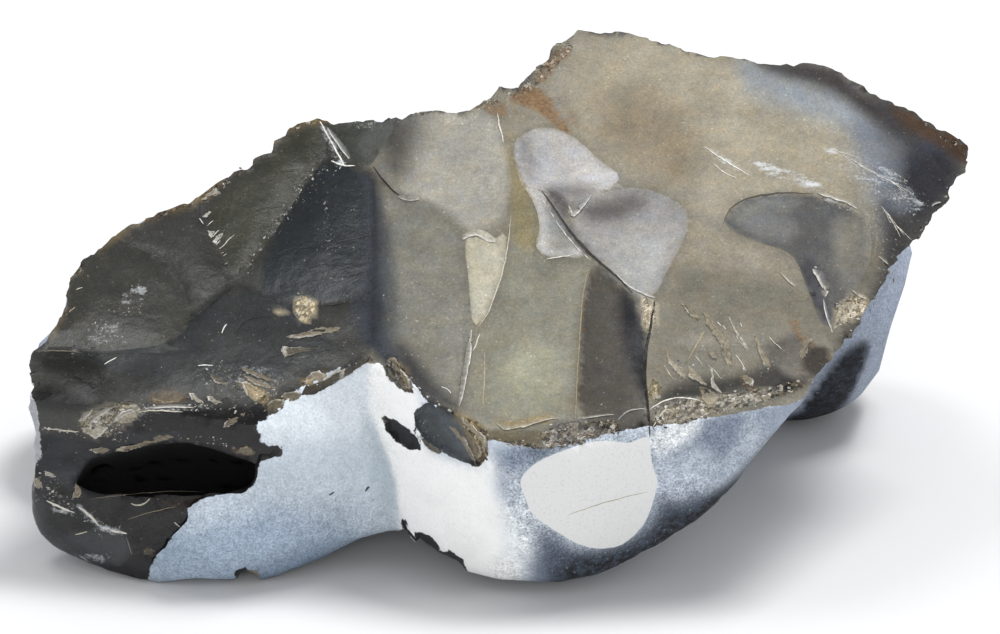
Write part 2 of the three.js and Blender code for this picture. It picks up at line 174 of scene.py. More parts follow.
# What the whole stone shows from the eye: the rear lobe stands out at the lower right, and a little
# at the left.
WHOLE_OUTLINE = on_sheet((25,364, 26,352, 38,340, 51,328, 59,316, 64,300, 63,285, 66,274, 80,254, 110,238,
    140,218, 170,209, 200,196, 245,159, 275,135, 305,120, 350,113, 400,113, 440,110, 470,109, 500,86, 515,83,
    530,64, 545,53, 560,39, 575,30, 620,29, 650,33, 680,44, 700,53, 770,62, 815,63, 845,72, 876,95, 905,105,
    950,132, 969,142, 974,156, 970,168, 955,192, 937,216, 921,240, 914,258, 908,285, 893,330, 882,372,
    864,396, 846,412, 822,421, 785,425, 745,475, 700,530, 665,556, 640,567, 600,581, 560,587, 500,587,
    460,583, 440,577, 415,567, 402,557, 395,553, 370,561, 330,573, 300,580, 262,588, 240,580, 195,578,
    155,583, 110,571, 75,565, 32,550, 20,530, 21,508, 30,484, 34,466, 29,446, 27,425, 27,405, 29,388))
WHOLE_MARGIN = 0.5

# Facets of the main break, each the scar of a flake: how far it is hollowed in mm, where its blow fell,
# and its outline.
FACETS = {
    "tip lens": (1.3, (40, 300), (26,352, 38,340, 51,328, 59,316, 64,300, 63,285, 66,274, 80,254, 95,248,
        110,240, 150,252, 176,275, 190,300, 191,325, 168,345, 130,349, 100,352, 65,351)),
    "left smooth": (0.9, (190, 190), (110,240, 125,226, 140,218, 170,209, 200,198, 200,214, 213,243, 228,268,
        237,284, 215,300, 191,325, 190,300, 176,275, 150,252)),
    "left upper": (1.2, (262, 165), (200,198, 215,181, 230,169, 245,159, 260,148, 275,135, 290,127, 305,120,
        320,118, 327,140, 325,158, 310,180, 295,200, 275,232, 262,250, 237,284, 228,268, 213,243, 200,214)),
    "left heart": (1.1, (325, 290), (325,158, 345,162, 358,166, 372,166, 376,230, 374,300, 345,303, 300,308,
        262,292, 237,284, 262,250, 275,232, 295,200, 310,180)),
    "left low": (1.1, (300, 390), (237,284, 262,292, 300,308, 345,303, 374,300, 374,352, 355,366, 330,384,
        300,392, 262,404, 200,402, 145,405, 104,408, 113,378, 105,365, 85,353, 100,352, 130,349, 168,345,
        191,325, 215,300)),
    "end bulge": (0.9, (60, 350), (26,352, 65,351, 85,353, 105,365, 113,378, 104,408, 45,410, 30,400,
        28,375)),
    "top notch": (1.7, (350, 100), (312,112, 345,101, 398,101, 394,130, 380,150, 372,166, 358,166, 345,162,
        325,158, 327,140, 320,118)),
    "upper middle": (1.3, (400, 110), (398,101, 425,98, 470,98, 498,108, 505,142, 514,185, 508,215, 497,241,
        480,233, 463,238, 455,220, 440,207, 420,199, 395,193, 383,180, 372,166, 380,150, 394,130)),
    "middle left": (1.8, (374, 350), (372,166, 383,180, 395,193, 420,199, 440,207, 455,220, 463,238, 469,280,
        472,327, 466,375, 460,408, 430,404, 402,372, 385,358, 374,352, 374,300, 376,230)),
    "sliver": (0.5, (490, 225), (463,238, 480,233, 497,241, 508,226, 506,255, 498,288, 486,318, 472,330,
        469,280)),
    "middle right": (1.3, (560, 440), (508,226, 514,185, 523,187, 533,200, 539,218, 540,233, 534,246,
        546,258, 570,256, 592,262, 584,290, 580,330, 577,380, 575,425, 540,426, 505,424, 490,412, 460,408,
        466,375, 472,330, 486,318, 498,288, 506,255)),
    "grey upper": (1.1, (560, 125), (513,138, 545,124, 575,136, 600,160, 625,178, 600,192, 572,205, 541,189,
        523,187, 515,165)),
    "grey wedge": (0.9, (560, 190), (523,187, 541,189, 556,212, 575,240, 592,262, 570,256, 546,258, 534,246,
        540,233, 539,218, 533,200)),
    "grey lower": (1.3, (690, 205), (541,189, 572,205, 600,192, 640,186, 672,198, 690,213, 686,238, 668,268,
        656,297, 632,294, 618,278, 598,262, 575,240, 556,212)),
    "brown facet": (1.5, (652, 300), (592,262, 598,262, 618,278, 632,294, 656,297, 651,325, 643,368, 648,408,
        650,434, 610,432, 575,425, 577,380, 580,330, 584,290)),
    "right oval": (1.6, (765, 224), (723,226, 727,211, 745,198, 780,192, 815,194, 845,206, 868,216, 874,258,
        850,300, 832,330, 822,330, 812,300, 803,278, 798,262, 785,251, 765,246, 745,238)),
    "right middle": (1.0, (700, 345), (690,213, 723,226, 745,238, 765,246, 785,251, 798,262, 803,278,
        812,300, 822,330, 780,345, 700,350, 651,345, 656,297, 668,268, 686,238)),
    "low right": (0.7, (690, 420), (651,345, 700,350, 780,345, 822,330, 835,345, 822,372, 790,388, 740,408,
        700,412, 650,434, 648,408, 643,368)),
    "right end": (1.1, (960, 160), (868,216, 900,190, 940,150, 974,156, 955,192, 921,240, 905,262, 872,312,
        850,335, 835,345, 822,330, 832,330, 850,300, 874,258)),
    "rust notch": (1.8, (540, 60), (490,92, 515,78, 530,60, 548,46, 572,50, 560,90, 575,115, 560,130,
        545,124, 513,138, 505,142, 498,108)),
}

# The front left break under the main break's left half, and the cave that opens in it.
LEFT_BREAK_HOLLOW = 0.6
LEFT_BREAK = (-4,380, 59,380, 122,386, 185,386, 242,393, 277,398, 269,421, 263,441, 258,461, 256,477,
    245,491, 206,496, 187,507, 187,517, 174,533, 154,557, 147,575, 147,594, -4,594)
CAVE_OUTLINE = (75,482, 81,473, 87,464, 95,458, 117,452, 135,449, 153,444, 171,441, 189,441, 206,444,
    224,449, 242,454, 256,457, 262,462, 262,474, 254,486, 234,493, 206,495, 170,495, 135,496, 96,495, 82,488)
CAVE_DEPTH = -11.5
CAVE_REACH = 12.5
CAVE_TAPER = 4.7

# Chips of dark flint in the white rind: hollow in mm and outline.
RIND_CHIPS = {
    "crest chip": (0.6, (385,369, 386,361, 391,356, 399,361, 408,374, 415,392, 405,392, 388,377)),
    "wedge chip": (0.8, (414,410, 428,403, 455,414, 475,420, 487,435, 488,455, 479,468, 462,461, 440,451,
        424,441, 415,425)),
    "oval chip": (0.6, (380,415, 394,419, 409,429, 420,440, 421,450, 408,450, 394,440, 385,429)),
    "foot chip": (0.7, (415,532, 426,533, 437,541, 440,552, 451,551, 463,560, 468,574, 455,576, 430,569,
        417,556)),
    "valley chip": (0.8, (403,514, 410,534, 416,549, 404,556, 394,550, 398,535)),
    "tongue": (0.4, (252,444, 266,447, 282,445, 283,452, 280,457, 258,461)),
    "left foot chip": (0.6, (233,571, 245,568, 258,572, 262,583, 262,592, 240,592)),
}

# Where the blow fell that opened the main break.
MAIN_BLOW = (640, 20)

# Old flake scars on the hidden sides, each bitten out by a large ball: facing, ball radius and bite in mm.
HIDDEN_SCARS = [
    ((-46, 45, 14), 50, 2.6),
    ((30, 60, -8), 42, 1.9),
    ((-80, 8, -16), 44, 2),
]
STONE_MIDDLE = np.array([0.0, 4.0, 26.0])
SKIN_SEARCH = np.arange(110, 0, -0.5)


# ---------- plain sums ----------
def clamp01(x):
    return np.clip(x, 0, 1)


def ease(x):
    x = clamp01(x)
    return x * x * (3 - 2 * x)


def soft_min(a, b, width):
    overlap = np.clip(width - np.abs(a - b), 0, None) / width
    return np.minimum(a, b) - overlap * overlap * width * 0.25


def soft_max(a, b, width):
    return -soft_min(-a, -b, width)


def soft_positive(x, width):
    return 0.5 * (x + np.sqrt(x * x + width * width))


def unit(vectors):
    return vectors / np.maximum(np.linalg.norm(vectors, axis=-1, keepdims=True), 1e-9)


def ellipsoid_distance(p, centre, radii):
    q = (p - np.array(centre)) / np.array(radii)
    size = np.sqrt((q * q).sum(-1))
    slope = np.sqrt(((q / np.array(radii)) ** 2).sum(-1))
    return size * (size - 1) / np.maximum(slope, 1e-9)


def outline_distance(u, v, outline):
    """Distance to a closed outline, negative inside."""
    nearest = np.full(u.shape, 1e18)
    inside = np.zeros(u.shape, bool)
    for (ax, ay), (bx, by) in zip(np.roll(outline, 1, 0), outline):
        ex = bx - ax
        ey = by - ay
        share = clamp01(((u - ax) * ex + (v - ay) * ey) / (ex * ex + ey * ey + 1e-12))
        nearest = np.minimum(nearest, (u - ax - share * ex) ** 2 + (v - ay - share * ey) ** 2)
        if ey != 0:
            inside ^= ((ay > v) != (by > v)) & (u < ax + (v - ay) / ey * ex)
    return np.where(inside, -1, 1) * np.sqrt(nearest)


def line_distance(u, v, line):
    """Distance to an open line, its side (negative right of it), the share along it and the nearest point."""
    lengths = np.hypot(*np.diff(line, axis=0).T)
    starts = np.concatenate([[0], np.cumsum(lengths)])
    nearest = np.full(u.shape, 1e9)
    offset = np.zeros(u.shape)
    side = np.ones(u.shape)
    along = np.zeros(u.shape)
    foot_u = np.zeros(u.shape)
    foot_v = np.zeros(u.shape)
    for n, ((ax, ay), (bx, by)) in enumerate(zip(line[:-1], line[1:])):
        ex = bx - ax
        ey = by - ay
        share = clamp01(((u - ax) * ex + (v - ay) * ey) / (ex * ex + ey * ey + 1e-12))
        x = ax + share * ex
        y = ay + share * ey
        gap = np.hypot(u - x, v - y)
        across = (ex * (v - ay) - ey * (u - ax)) / max(lengths[n], 1e-9)
        closer = (gap < nearest - 1e-6) | ((gap < nearest + 1e-6) & (np.abs(across) > offset))
        side = np.where(closer, np.where(across < 0, -1, 1), side)
        along = np.where(closer, (starts[n] + share * lengths[n]) / starts[-1], along)
        offset = np.where(closer, np.abs(across), offset)
        foot_u = np.where(closer, x, foot_u)
        foot_v = np.where(closer, y, foot_v)
        nearest = np.minimum(nearest, gap)
    return nearest, side, along, foot_u, foot_v


def share_from_middle(u, v, outline):
    """0 at the outline's middle and 1 on the outline, which is star-shaped about its middle."""
    middle = outline.mean(0)
    corners = outline - middle
    x = u - middle[0]
    y = v - middle[1]
    share = np.full(u.shape, 9.0)
    for (ax, ay), (bx, by) in zip(corners, np.roll(corners, -1, 0)):
        area = ax * by - bx * ay
        if abs(area) > 1e-9:
            s = (x * by - y * bx) / area
            t = (ax * y - ay * x) / area
            share = np.where((s >= -1e-9) & (t >= -1e-9), s + t, share)
    return share


NOISE_VALUES = np.random.default_rng(5).uniform(-1, 1, 8192)
NOISE_PRIMES = (73856093, 19349663, 83492791)


def noise(coordinates, size, seed):
    """Smooth noise between -1 and 1, its lumps about `size` mm across."""
    cells = [np.floor(c / size).astype(np.int64) for c in coordinates]
    shares = [ease(c / size - cell) for c, cell in zip(coordinates, cells)]
    total = 0
    for corner in range(2 ** len(cells)):
        key = np.int64(seed * 2654435761 % 1000003)
        weight = 1
        for axis, (cell, share) in enumerate(zip(cells, shares)):
            step = (corner >> axis) & 1
            key = key ^ ((cell + step) * NOISE_PRIMES[axis])
            weight = weight * (share if step else 1 - share)
        key = key ^ (key >> 11)
        total = total + weight * NOISE_VALUES[key % len(NOISE_VALUES)]
    return total


def cloud(coordinates, size, layers, seed):
    return sum(noise(coordinates, size / 2**n, seed + n) / 2**n for n in range(layers))


# ---------- maps on the sheet ----------
MAP_PITCH = 0.2
MAP_U = np.arange(-84, 84.01, MAP_PITCH)
MAP_V = np.arange(-56, 60.01, MAP_PITCH)
map_u, map_v = np.meshgrid(MAP_U, MAP_V)


def read_map(values, u, v):
    """The map's values at points of the sheet, blended between its nodes."""
    x = np.clip((u - MAP_U[0]) / MAP_PITCH, 0, len(MAP_U) - 1.001)
    y = np.clip((v - MAP_V[0]) / MAP_PITCH, 0, len(MAP_V) - 1.001)
    i = x.astype(int)
    j = y.astype(int)
    x = x - i
    y = y - j
    low = values[j, i] * (1 - x) + values[j, i + 1] * x
    high = values[j + 1, i] * (1 - x) + values[j + 1, i + 1] * x
    return low * (1 - y) + high * y


def map_window(marks, margin):
    """The part of the maps that lies within `margin` mm of the marks."""
    low = marks.min(0) - margin
    high = marks.max(0) + margin
    columns = slice(*np.searchsorted(MAP_U, (low[0], high[0])))
    rows = slice(*np.searchsorted(MAP_V, (low[1], high[1])))
    return rows, columns


# The depths below, in mm behind the sheet, follow the solid's own: each is a plane's depth at the sheet's
# middle and its slopes across and up, with a bend or a swelling added.
def main_break_depth(u, v):
    flattening = 0.3 * soft_positive(v - 12, 8) / (1 + np.exp(-(u - 2) / 6))
    right_half = -13 + 0.577 * v + flattening
    left_half = -13 + 0.52 * v - 0.14 * (u + 19)
    return np.maximum(right_half, left_half) + 0.3 * soft_positive(u - 52, 8)


def left_break_depth(u, v):
    return -32.9 - 0.226 * u - 0.3 * v


def wall_depth(u, v):
    middle_lobe = np.exp(-(((u - 5) / 22) ** 2))
    return -22.5 - 0.38 * v + 0.2 * soft_positive(-38 - u, 4) - 4.5 * middle_lobe


# Ledges: steps in the flint where a flake came away. The ground right of each line lies lower by `drop`
# and comes back up within `reach`.
LEDGES = {
    "tip lens": (0.5, 8, (110,242, 150,252, 175,275, 190,300, 191,325, 168,345, 100,352)),
    "comb": (0.55, 6, (237,283, 228,268, 213,243, 200,216)),
    "dotted edge": (0.5, 10, (238,283, 275,232, 295,200, 325,160)),
    "long left ridge": (0.7, 14, (140,349, 165,340, 190,315, 215,300, 236,284)),
    "upper arc": (0.4, 5, (272,290, 275,270, 290,255, 315,247, 332,248)),
    "lower arc": (0.3, 5, (232,346, 237,329, 254,316, 276,317)),
    "first lip": (0.5, 4, (285,338, 315,330, 347,326)),
    "second lip": (0.45, 3, (283,353, 312,348, 347,344)),
    "end bulge": (0.8, 7, (36,352, 65,351, 85,353, 105,365, 113,378)),
    "low chip one": (0.4, 2.5, (195,372, 215,380, 232,384)),
    "low chip two": (0.5, 3, (240,366, 262,375, 283,386)),
    "low chip three": (0.5, 2.5, (243,378, 254,391, 266,402)),
    "rim chip": (0.5, 2.5, (300,384, 315,372, 337,373)),
    "top facet": (0.8, 6, (398,112, 392,135, 378,150, 368,160, 345,162)),
    "upper middle edge": (0.6, 9, (372,165, 383,180, 395,193, 405,197, 420,199, 440,207, 455,220, 463,238)),
    "sliver top": (0.4, 3, (461,240, 468,232, 480,233, 497,241)),
    "sliver right": (0.35, 5, (511,215, 506,255, 498,288, 486,318, 474,332)),
    "sliver left": (0.2, 6, (462,240, 469,280, 472,327)),
    "grey scar edge": (0.8, 12, (546,258, 534,246, 540,233, 539,218, 533,200, 523,185, 515,165, 513,138)),
    "grey scar foot": (0.4, 5, (590,257, 570,255, 546,258)),
    "dark ridge": (0.9, 10, (541,189, 575,240, 598,262, 618,278, 632,294)),
    "lower grey rim": (0.5, 10, (600,190, 640,186, 672,198, 690,213, 686,238, 668,268, 656,296)),
    "brown facet edge": (0.9, 10, (575,428, 577,380, 580,330, 584,290, 593,262)),
    "crack": (0.6, 4, (657,290, 651,325, 643,370, 648,408, 650,436)),
    "oval scar top": (0.7, 9, (723,226, 727,211, 745,198, 780,192, 815,194, 845,206, 862,216)),
    "oval scar foot": (0.6, 8, (822,330, 812,300, 803,278, 798,262, 785,251, 765,246, 745,238, 723,226)),
    "oval inner edge": (0.3, 4, (838,240, 840,270, 834,292)),
    "end edge": (0.4, 5, (868,300, 873,262, 878,235, 868,205)),
    "low brown scar": (0.5, 4, (806,338, 808,355, 802,375, 788,388)),
    "rim step": (0.6, 3, (493,415, 505,424, 540,424, 575,420, 610,414, 640,412)),
    "hackle one": (0.5, 3.5, (683,303, 692,317, 702,328)),
    "hackle two": (0.5, 3.5, (702,308, 712,328, 722,346, 732,368)),
    "hackle three": (0.4, 3, (727,314, 737,332, 747,352)),
    "hackle four": (0.5, 3, (757,334, 763,352, 770,370)),
    "hackle five": (0.5, 3, (664,348, 677,364, 690,378, 702,392)),
    "hackle six": (0.4, 3, (698,374, 708,388, 718,399)),
    "cave lip": (0.5, 3, (92,459, 112,452, 135,444, 165,437, 185,441)),
}

LEDGE_SHARE = 0.4  # what wear has left of each ledge
LEDGE_WINDOW = 3.5  # how many times its reach a ledge is felt
STEP_WIDTH = 1.2
STEP_TAPER = 0.18  # the share of a ledge that fades out at either end


def step_down(values, drop, reach, line):
    """Adds one ledge to a map of depths."""
    rows, columns = map_window(line, LEDGE_WINDOW * reach)
    gap, side, along, _, _ = line_distance(map_u[rows, columns], map_v[rows, columns], line)
    ends = ease(along / STEP_TAPER) * ease((1 - along) / STEP_TAPER)
    fallen = ease(0.5 - side * gap / STEP_WIDTH)
    values[rows, columns] += drop * ends * fallen * np.exp(-gap / reach)


def blurred(values, radius):
    """The map averaged over a square of 2 * radius + 1 nodes, three times."""
    for _ in range(3):
        for axis in (0, 1):
            padding = [(radius + 1, radius) if n == axis else (0, 0) for n in range(2)]
            sums = np.cumsum(np.pad(values, padding, mode="edge"), axis)
            ahead = np.take(sums, np.arange(2 * radius + 1, sums.shape[axis]), axis)
            values = (ahead - np.take(sums, np.arange(values.shape[axis]), axis)) / (2 * radius + 1)
    return values


# The fold between the dark and the olive flint, where the break bends without an edge.
FOLD = (350,178, 380,190, 402,210, 406,300, 410,366, 370,352, 345,300)
FOLD_BLUR = 8
FOLD_EDGE = 4
CHIP_EDGE = 0.6
LEFT_BREAK_RIM = 5
# Unevenness of the breaks and of the rim: height in mm, size in mm, layers, seed.
MAIN_UNEVEN = [(0.22, 9, 1, 11), (0.09, 3.2, 2, 21)]
LEFT_UNEVEN = [(0.35, 6, 1, 31), (0.15, 2.4, 2, 33)]
CAVE_UNEVEN = [(0.25, 2.4, 1, 35)]
RIM_UNEVEN = [(0.16, 2.2, 1, 41), (0.1, 1.1, 1, 42)]


def unevenness(waves):
    """A map of noise in mm."""
    return sum(height * cloud((map_u, map_v), size, layers, seed) for height, size, layers, seed in waves)


def carved_main_break():
    depth = main_break_depth(map_u, map_v)
    plain = depth.copy()
    for hollow, _, marks in FACETS.values():
        outline = softened(on_sheet(marks), closed=True)
        rows, columns = map_window(outline, 1)
        share = share_from_middle(map_u[rows, columns], map_v[rows, columns], outline)
        dish = np.where(share < 1, hollow * (1 - share**2), 0)
        depth[rows, columns] = np.maximum(depth[rows, columns], plain[rows, columns] + dish)
    fold_gap = outline_distance(map_u, map_v, softened(on_sheet(FOLD), closed=True))
    folded = ease(0.5 - fold_gap / FOLD_EDGE)
    depth = depth * (1 - folded) + blurred(depth, FOLD_BLUR) * folded
    for drop, reach, marks in LEDGES.values():
        step_down(depth, drop * LEDGE_SHARE, reach, softened(on_sheet(marks)))
    return depth + unevenness(MAIN_UNEVEN)


main_map = carved_main_break()
front_edge_map = outline_distance(map_u, map_v, FRONT_OUTLINE) + unevenness(RIM_UNEVEN)
deep_edge_map = outline_distance(map_u, map_v, DEEP_OUTLINE)
left_edge_map = outline_distance(map_u, map_v, on_sheet(LEFT_BREAK))
cave_edge_map = outline_distance(map_u, map_v, softened(on_sheet(CAVE_OUTLINE), closed=True))
cave_edge_map += unevenness(CAVE_UNEVEN)
left_map = left_break_depth(map_u, map_v) + LEFT_BREAK_HOLLOW * clamp01(-left_edge_map / LEFT_BREAK_RIM)
left_map += unevenness(LEFT_UNEVEN)
whole_edge_map = outline_distance(map_u, map_v, WHOLE_OUTLINE)
wall_map = np.zeros(map_u.shape)
for chip_hollow, chip_marks in RIND_CHIPS.values():
    chip = softened(on_sheet(chip_marks), closed=True)
    chip_rows, chip_columns = map_window(chip, 1)
    chip_gap = outline_distance(map_u[chip_rows, chip_columns], map_v[chip_rows, chip_columns], chip)
    wall_map[chip_rows, chip_columns] += chip_hollow * ease(-chip_gap / CHIP_EDGE)


# ---------- distances ----------
def lumps(p):
    x, y, z = p[..., 0], p[..., 1], p[..., 2]
    return sum(np.sin(kx * x + ky * y + kz * z + phase) for kx, ky, kz, phase in LUMP_WAVES) / len(LUMP_WAVES)


def lobes_distance(p, lobes, blend):
    nearest = np.full(p.shape[:-1], 1e3)
    for centre, radii in lobes:
        nearest = soft_min(nearest, ellipsoid_distance(p, centre, radii), blend)
    return nearest


LUMP_FLOOR = 0.25  # the share of the lumps that the rim keeps
WALL_CHIPS_FADE = (1.5, 8)  # chips in the wall under the rim fade out from 4 mm to 12 mm behind it
WHOLE_MARGIN_FADE = 6
WHOLE_STEEPNESS = 0.9


def nodule_distance(p, u, v, d):
    """Distance to the nodule as it was before it broke, its chipped rim and wall included."""
    behind_edge = d - np.maximum(main_break_depth(u, v), wall_depth(u, v))
    deep = clamp01(behind_edge / CHIPS_END)
    outline = read_map(front_edge_map, u, v) * (1 - deep) + read_map(deep_edge_map, u, v) * deep
    drafted = (outline + DRAFT * behind_edge) / math.hypot(1, DRAFT)
    front = soft_max(lobes_distance(p, FRONT_LOBES, FRONT_BLEND), drafted, EDGE_ROUND)
    rear = lobes_distance(p, REAR_LOBES, REAR_BLEND)
    chipped = read_map(wall_map, u, v) * clamp01(WALL_CHIPS_FADE[0] - behind_edge / WALL_CHIPS_FADE[1])
    whole = soft_min(front, rear, MASS_BLEND) + LUMP_HEIGHT * lumps(p) * clamp01(deep + LUMP_FLOOR) + chipped
    margin = WHOLE_MARGIN * ease(behind_edge / WHOLE_MARGIN_FADE)
    return np.maximum(whole, (read_map(whole_edge_map, u, v) + margin) * WHOLE_STEEPNESS)


def hidden_balls():
    """Middle and radius of the ball that bites each hidden scar."""
    balls = []
    for towards, radius, bite in HIDDEN_SCARS:
        facing = unit(np.array(towards, float))
        ray = STONE_MIDDLE + np.multiply.outer(SKIN_SEARCH, facing)
        outside = nodule_distance(ray, *to_sheet(ray)) > 0
        reach = SKIN_SEARCH[np.argmin(outside)]
        balls.append((STONE_MIDDLE + facing * (reach + radius - bite), radius))
    return balls


HIDDEN_BALLS = hidden_balls()
HIDDEN_UNEVEN = (0.12, 3.5, 51)  # of the hidden scars: height in mm, size in mm, seed
FACE_LEAN = 0.85  # what a depth behind a break is worth as a distance from it
# Crumbled edges of the breaks: size, reach and depth in mm, and how far crumbs cover the edge.
CRUMB_SIZE = 1.9
CRUMB_REACH = 0.9
CRUMB_DEPTH = 0.4
CRUMB_COVER = 0.25
SLOPE_STEP = 0.12


def cuts(p, u, v, d):
    """How far each cut has taken the point away: main break, left break, cave and hidden scars."""
    main = (read_map(main_map, u, v) - d) * FACE_LEAN
    left = np.minimum(-read_map(left_edge_map, u, v), (read_map(left_map, u, v) - d) * FACE_LEAN)
    cave = -read_map(cave_edge_map, u, v) - CAVE_TAPER * ((d - CAVE_DEPTH) / CAVE_REACH) ** 2
    hidden = np.max([radius - np.linalg.norm(p - centre, axis=-1) for centre, radius in HIDDEN_BALLS], 0)
    height, size, seed = HIDDEN_UNEVEN
    hidden = hidden + height * noise(p.T, size, seed)
    return main, left, cave, hidden


def stone_distance(p):
    """Distance to the broken stone's skin, negative inside."""
    u, v, d = to_sheet(p)
    skin = nodule_distance(p, u, v, d)
    main, left, cave, hidden = cuts(p, u, v, d)
    broken = np.maximum.reduce([main, left, hidden])
    crumbs = clamp01(cloud(p.T, CRUMB_SIZE, 2, 81) + CRUMB_COVER)
    crumbs = crumbs * np.exp(-np.abs(broken - skin) / CRUMB_REACH)
    return np.maximum.reduce([skin, broken, cave, -p[..., 2]]) + CRUMB_DEPTH * crumbs


def stone_slope(p, here):
    """Which way the distance grows at p, where it is `here`."""
    rises = [stone_distance(p + SLOPE_STEP * axis) - here for axis in np.eye(3)]
    return np.stack(rises, -1) / SLOPE_STEP


# ---------- the stone's mesh ----------
CELL = 1.07
GRID_FROM = np.array([-78.1, -45.3, -2.05])
GRID_NODES = (147, 86, 67)
CELL_SUMS = 13  # a count, three for the points, three for the planes' reach and six for their slopes
SETTLE = 0.06  # how firmly a corner keeps to the middle of where its cell is crossed
SKIN_PULLS = 3
LONGEST_PULL = 0.4
LEAST_STEEPNESS = 0.3
ON_SKIN = 0.3
BREAK_SLACK = 0.02
RIM_LEFT_OUT = 0.9  # this near to the rim, in mm, corners stay as they are
SNAP = 0.3  # corners this near to a facet's outline, in mm, move onto it
FINE_TURNED = 0.1  # squares turned away from the eye by more than this are split in four
FINE_REACH = 1.6  # where they lie on a break or this near to one, in mm
SHARP_DEGREES = 32


def cell_mesh():
    """One corner in each grid cell that the skin crosses, on the crease if there is one, and a square
    across each grid edge that it crosses. Seen from outside, a square's corners run clockwise."""
    axes = [GRID_FROM[n] + CELL * np.arange(GRID_NODES[n]) for n in range(3)]
    nodes = np.stack(np.meshgrid(*axes, indexing="ij"), -1)
    values = stone_distance(nodes.reshape(-1, 3)).reshape(GRID_NODES)
    cell_count = GRID_NODES[0] * GRID_NODES[1] * GRID_NODES[2]
    strides = np.array([GRID_NODES[1] * GRID_NODES[2], GRID_NODES[2], 1])
    sums = np.zeros((CELL_SUMS, cell_count))
    squares = []
    for axis in range(3):
        low = [slice(None)] * 3
        high = [slice(None)] * 3
        low[axis] = slice(None, -1)
        high[axis] = slice(1, None)
        a = values[tuple(low)]
        b = values[tuple(high)]
        at = np.argwhere((a < 0) != (b < 0))
        va = a[tuple(at.T)]
        vb = b[tuple(at.T)]
        points = GRID_FROM + CELL * at
        points[:, axis] += CELL * va / (va - vb)
        slopes = unit(stone_slope(points, stone_distance(points)))
        reach = (slopes * points).sum(-1)
        one, two = [n for n in range(3) if n != axis]
        corner = at @ strides
        cells = [corner, corner - strides[one], corner - strides[one] - strides[two], corner - strides[two]]
        terms = [np.ones(len(at)), *points.T, *(slopes.T * reach)]
        terms += [slopes[:, i] * slopes[:, j] for i in range(3) for j in range(i, 3)]
        for cell in cells:
            for n, term in enumerate(terms):
                sums[n] += np.bincount(cell, term, cell_count)
        flip = (va < 0) == (axis == 1)
        squares.append(np.where(flip[:, None], np.stack(cells, -1), np.stack(cells[::-1], -1)))
    used = np.flatnonzero(sums[0])
    count, px, py, pz, bx, by, bz, xx, xy, xz, yy, yz, zz = sums[:, used]
    middle = np.stack([px, py, pz], -1) / count[:, None]
    matrix = np.stack([xx, xy, xz, xy, yy, yz, xz, yz, zz], -1).reshape(-1, 3, 3)
    pull = np.stack([bx, by, bz], -1) - np.einsum("nij,nj->ni", matrix, middle)
    shift = np.linalg.solve(matrix + SETTLE * count[:, None, None] * np.eye(3), pull[..., None])[..., 0]
    shift *= np.minimum(1, CELL / np.maximum(np.linalg.norm(shift, axis=-1, keepdims=True), 1e-9))
    number = np.full(cell_count, -1)
    number[used] = np.arange(len(used))
    return middle + shift, number[np.concatenate(squares)]


def square_normals(points, squares):
    """Which way the squares face by the order of their corners, which is into the stone."""
    a, b, c, d = (points[squares[:, n]] for n in range(4))
    return unit(np.cross(c - a, d - b))


def refine(points, squares, chosen):
    """Splits each chosen square in four. A neighbour of one gets the new corners on its sides."""
    ends = np.sort(np.stack([squares, np.roll(squares, -1, 1)], -1), -1)
    keys = ends[..., 0] * len(points) + ends[..., 1]
    split = np.unique(keys[chosen])
    middles = (points[split // len(points)] + points[split % len(points)]) / 2
    first_middle = len(points)
    first_centre = first_middle + len(split)
    centres = points[squares[chosen]].mean(1)
    place = np.minimum(np.searchsorted(split, keys), len(split) - 1)
    on_side = np.where(split[place] == keys, first_middle + place, -1)
    corner = squares[chosen]
    side = on_side[chosen]
    centre = first_centre + np.arange(len(corner))
    faces = []
    for n in range(4):
        faces += np.stack([corner[:, n], side[:, n], centre, side[:, n - 1]], -1).tolist()
    for whole, sides in zip(squares[~chosen].tolist(), on_side[~chosen].tolist()):
        face = []
        for n in range(4):
            face.append(whole[n])
            if sides[n] >= 0:
                face.append(sides[n])
        faces.append(face)
    return np.concatenate([points, middles, centres]), faces


def pulled_to_skin(points):
    """Points moved along the slope until they lie on the skin."""
    for _ in range(SKIN_PULLS):
        here = stone_distance(points)
        slope = stone_slope(points, here)
        steep = np.maximum((slope * slope).sum(-1), LEAST_STEEPNESS)
        points = points - slope * np.clip(here / steep, -LONGEST_PULL, LONGEST_PULL)[:, None]
    return points


def on_facet_edges(points):
    """Points of the main break laid exactly on it, those beside a facet's outline on the outline."""
    u, v, d = to_sheet(points)
    skin = nodule_distance(points, u, v, d)
    main, left, cave, hidden = cuts(points, u, v, d)
    on_main = main > np.maximum.reduce([skin + RIM_LEFT_OUT, left, cave, hidden]) - BREAK_SLACK
    on_main &= np.abs(stone_distance(points)) < ON_SKIN
    moved = np.zeros(len(u), bool)
    for _, _, marks in FACETS.values():
        outline = softened(on_sheet(marks), closed=True)
        line = np.concatenate([outline, outline[:1]])
        low = line.min(0) - 1
        high = line.max(0) + 1
        near = np.flatnonzero(on_main & ~moved & (u > low[0]) & (u < high[0]) & (v > low[1]) & (v < high[1]))
        gap, _, _, foot_u, foot_v = line_distance(u[near], v[near], line)
        taken = gap < SNAP
        chosen = near[taken]
        u[chosen] = foot_u[taken]
        v[chosen] = foot_v[taken]
        moved[chosen] = True
    depth = np.where(on_main, read_map(main_map, u, v), d)
    laid = from_sheet(u, v, depth)
    return np.where(on_main[:, None], laid, points)


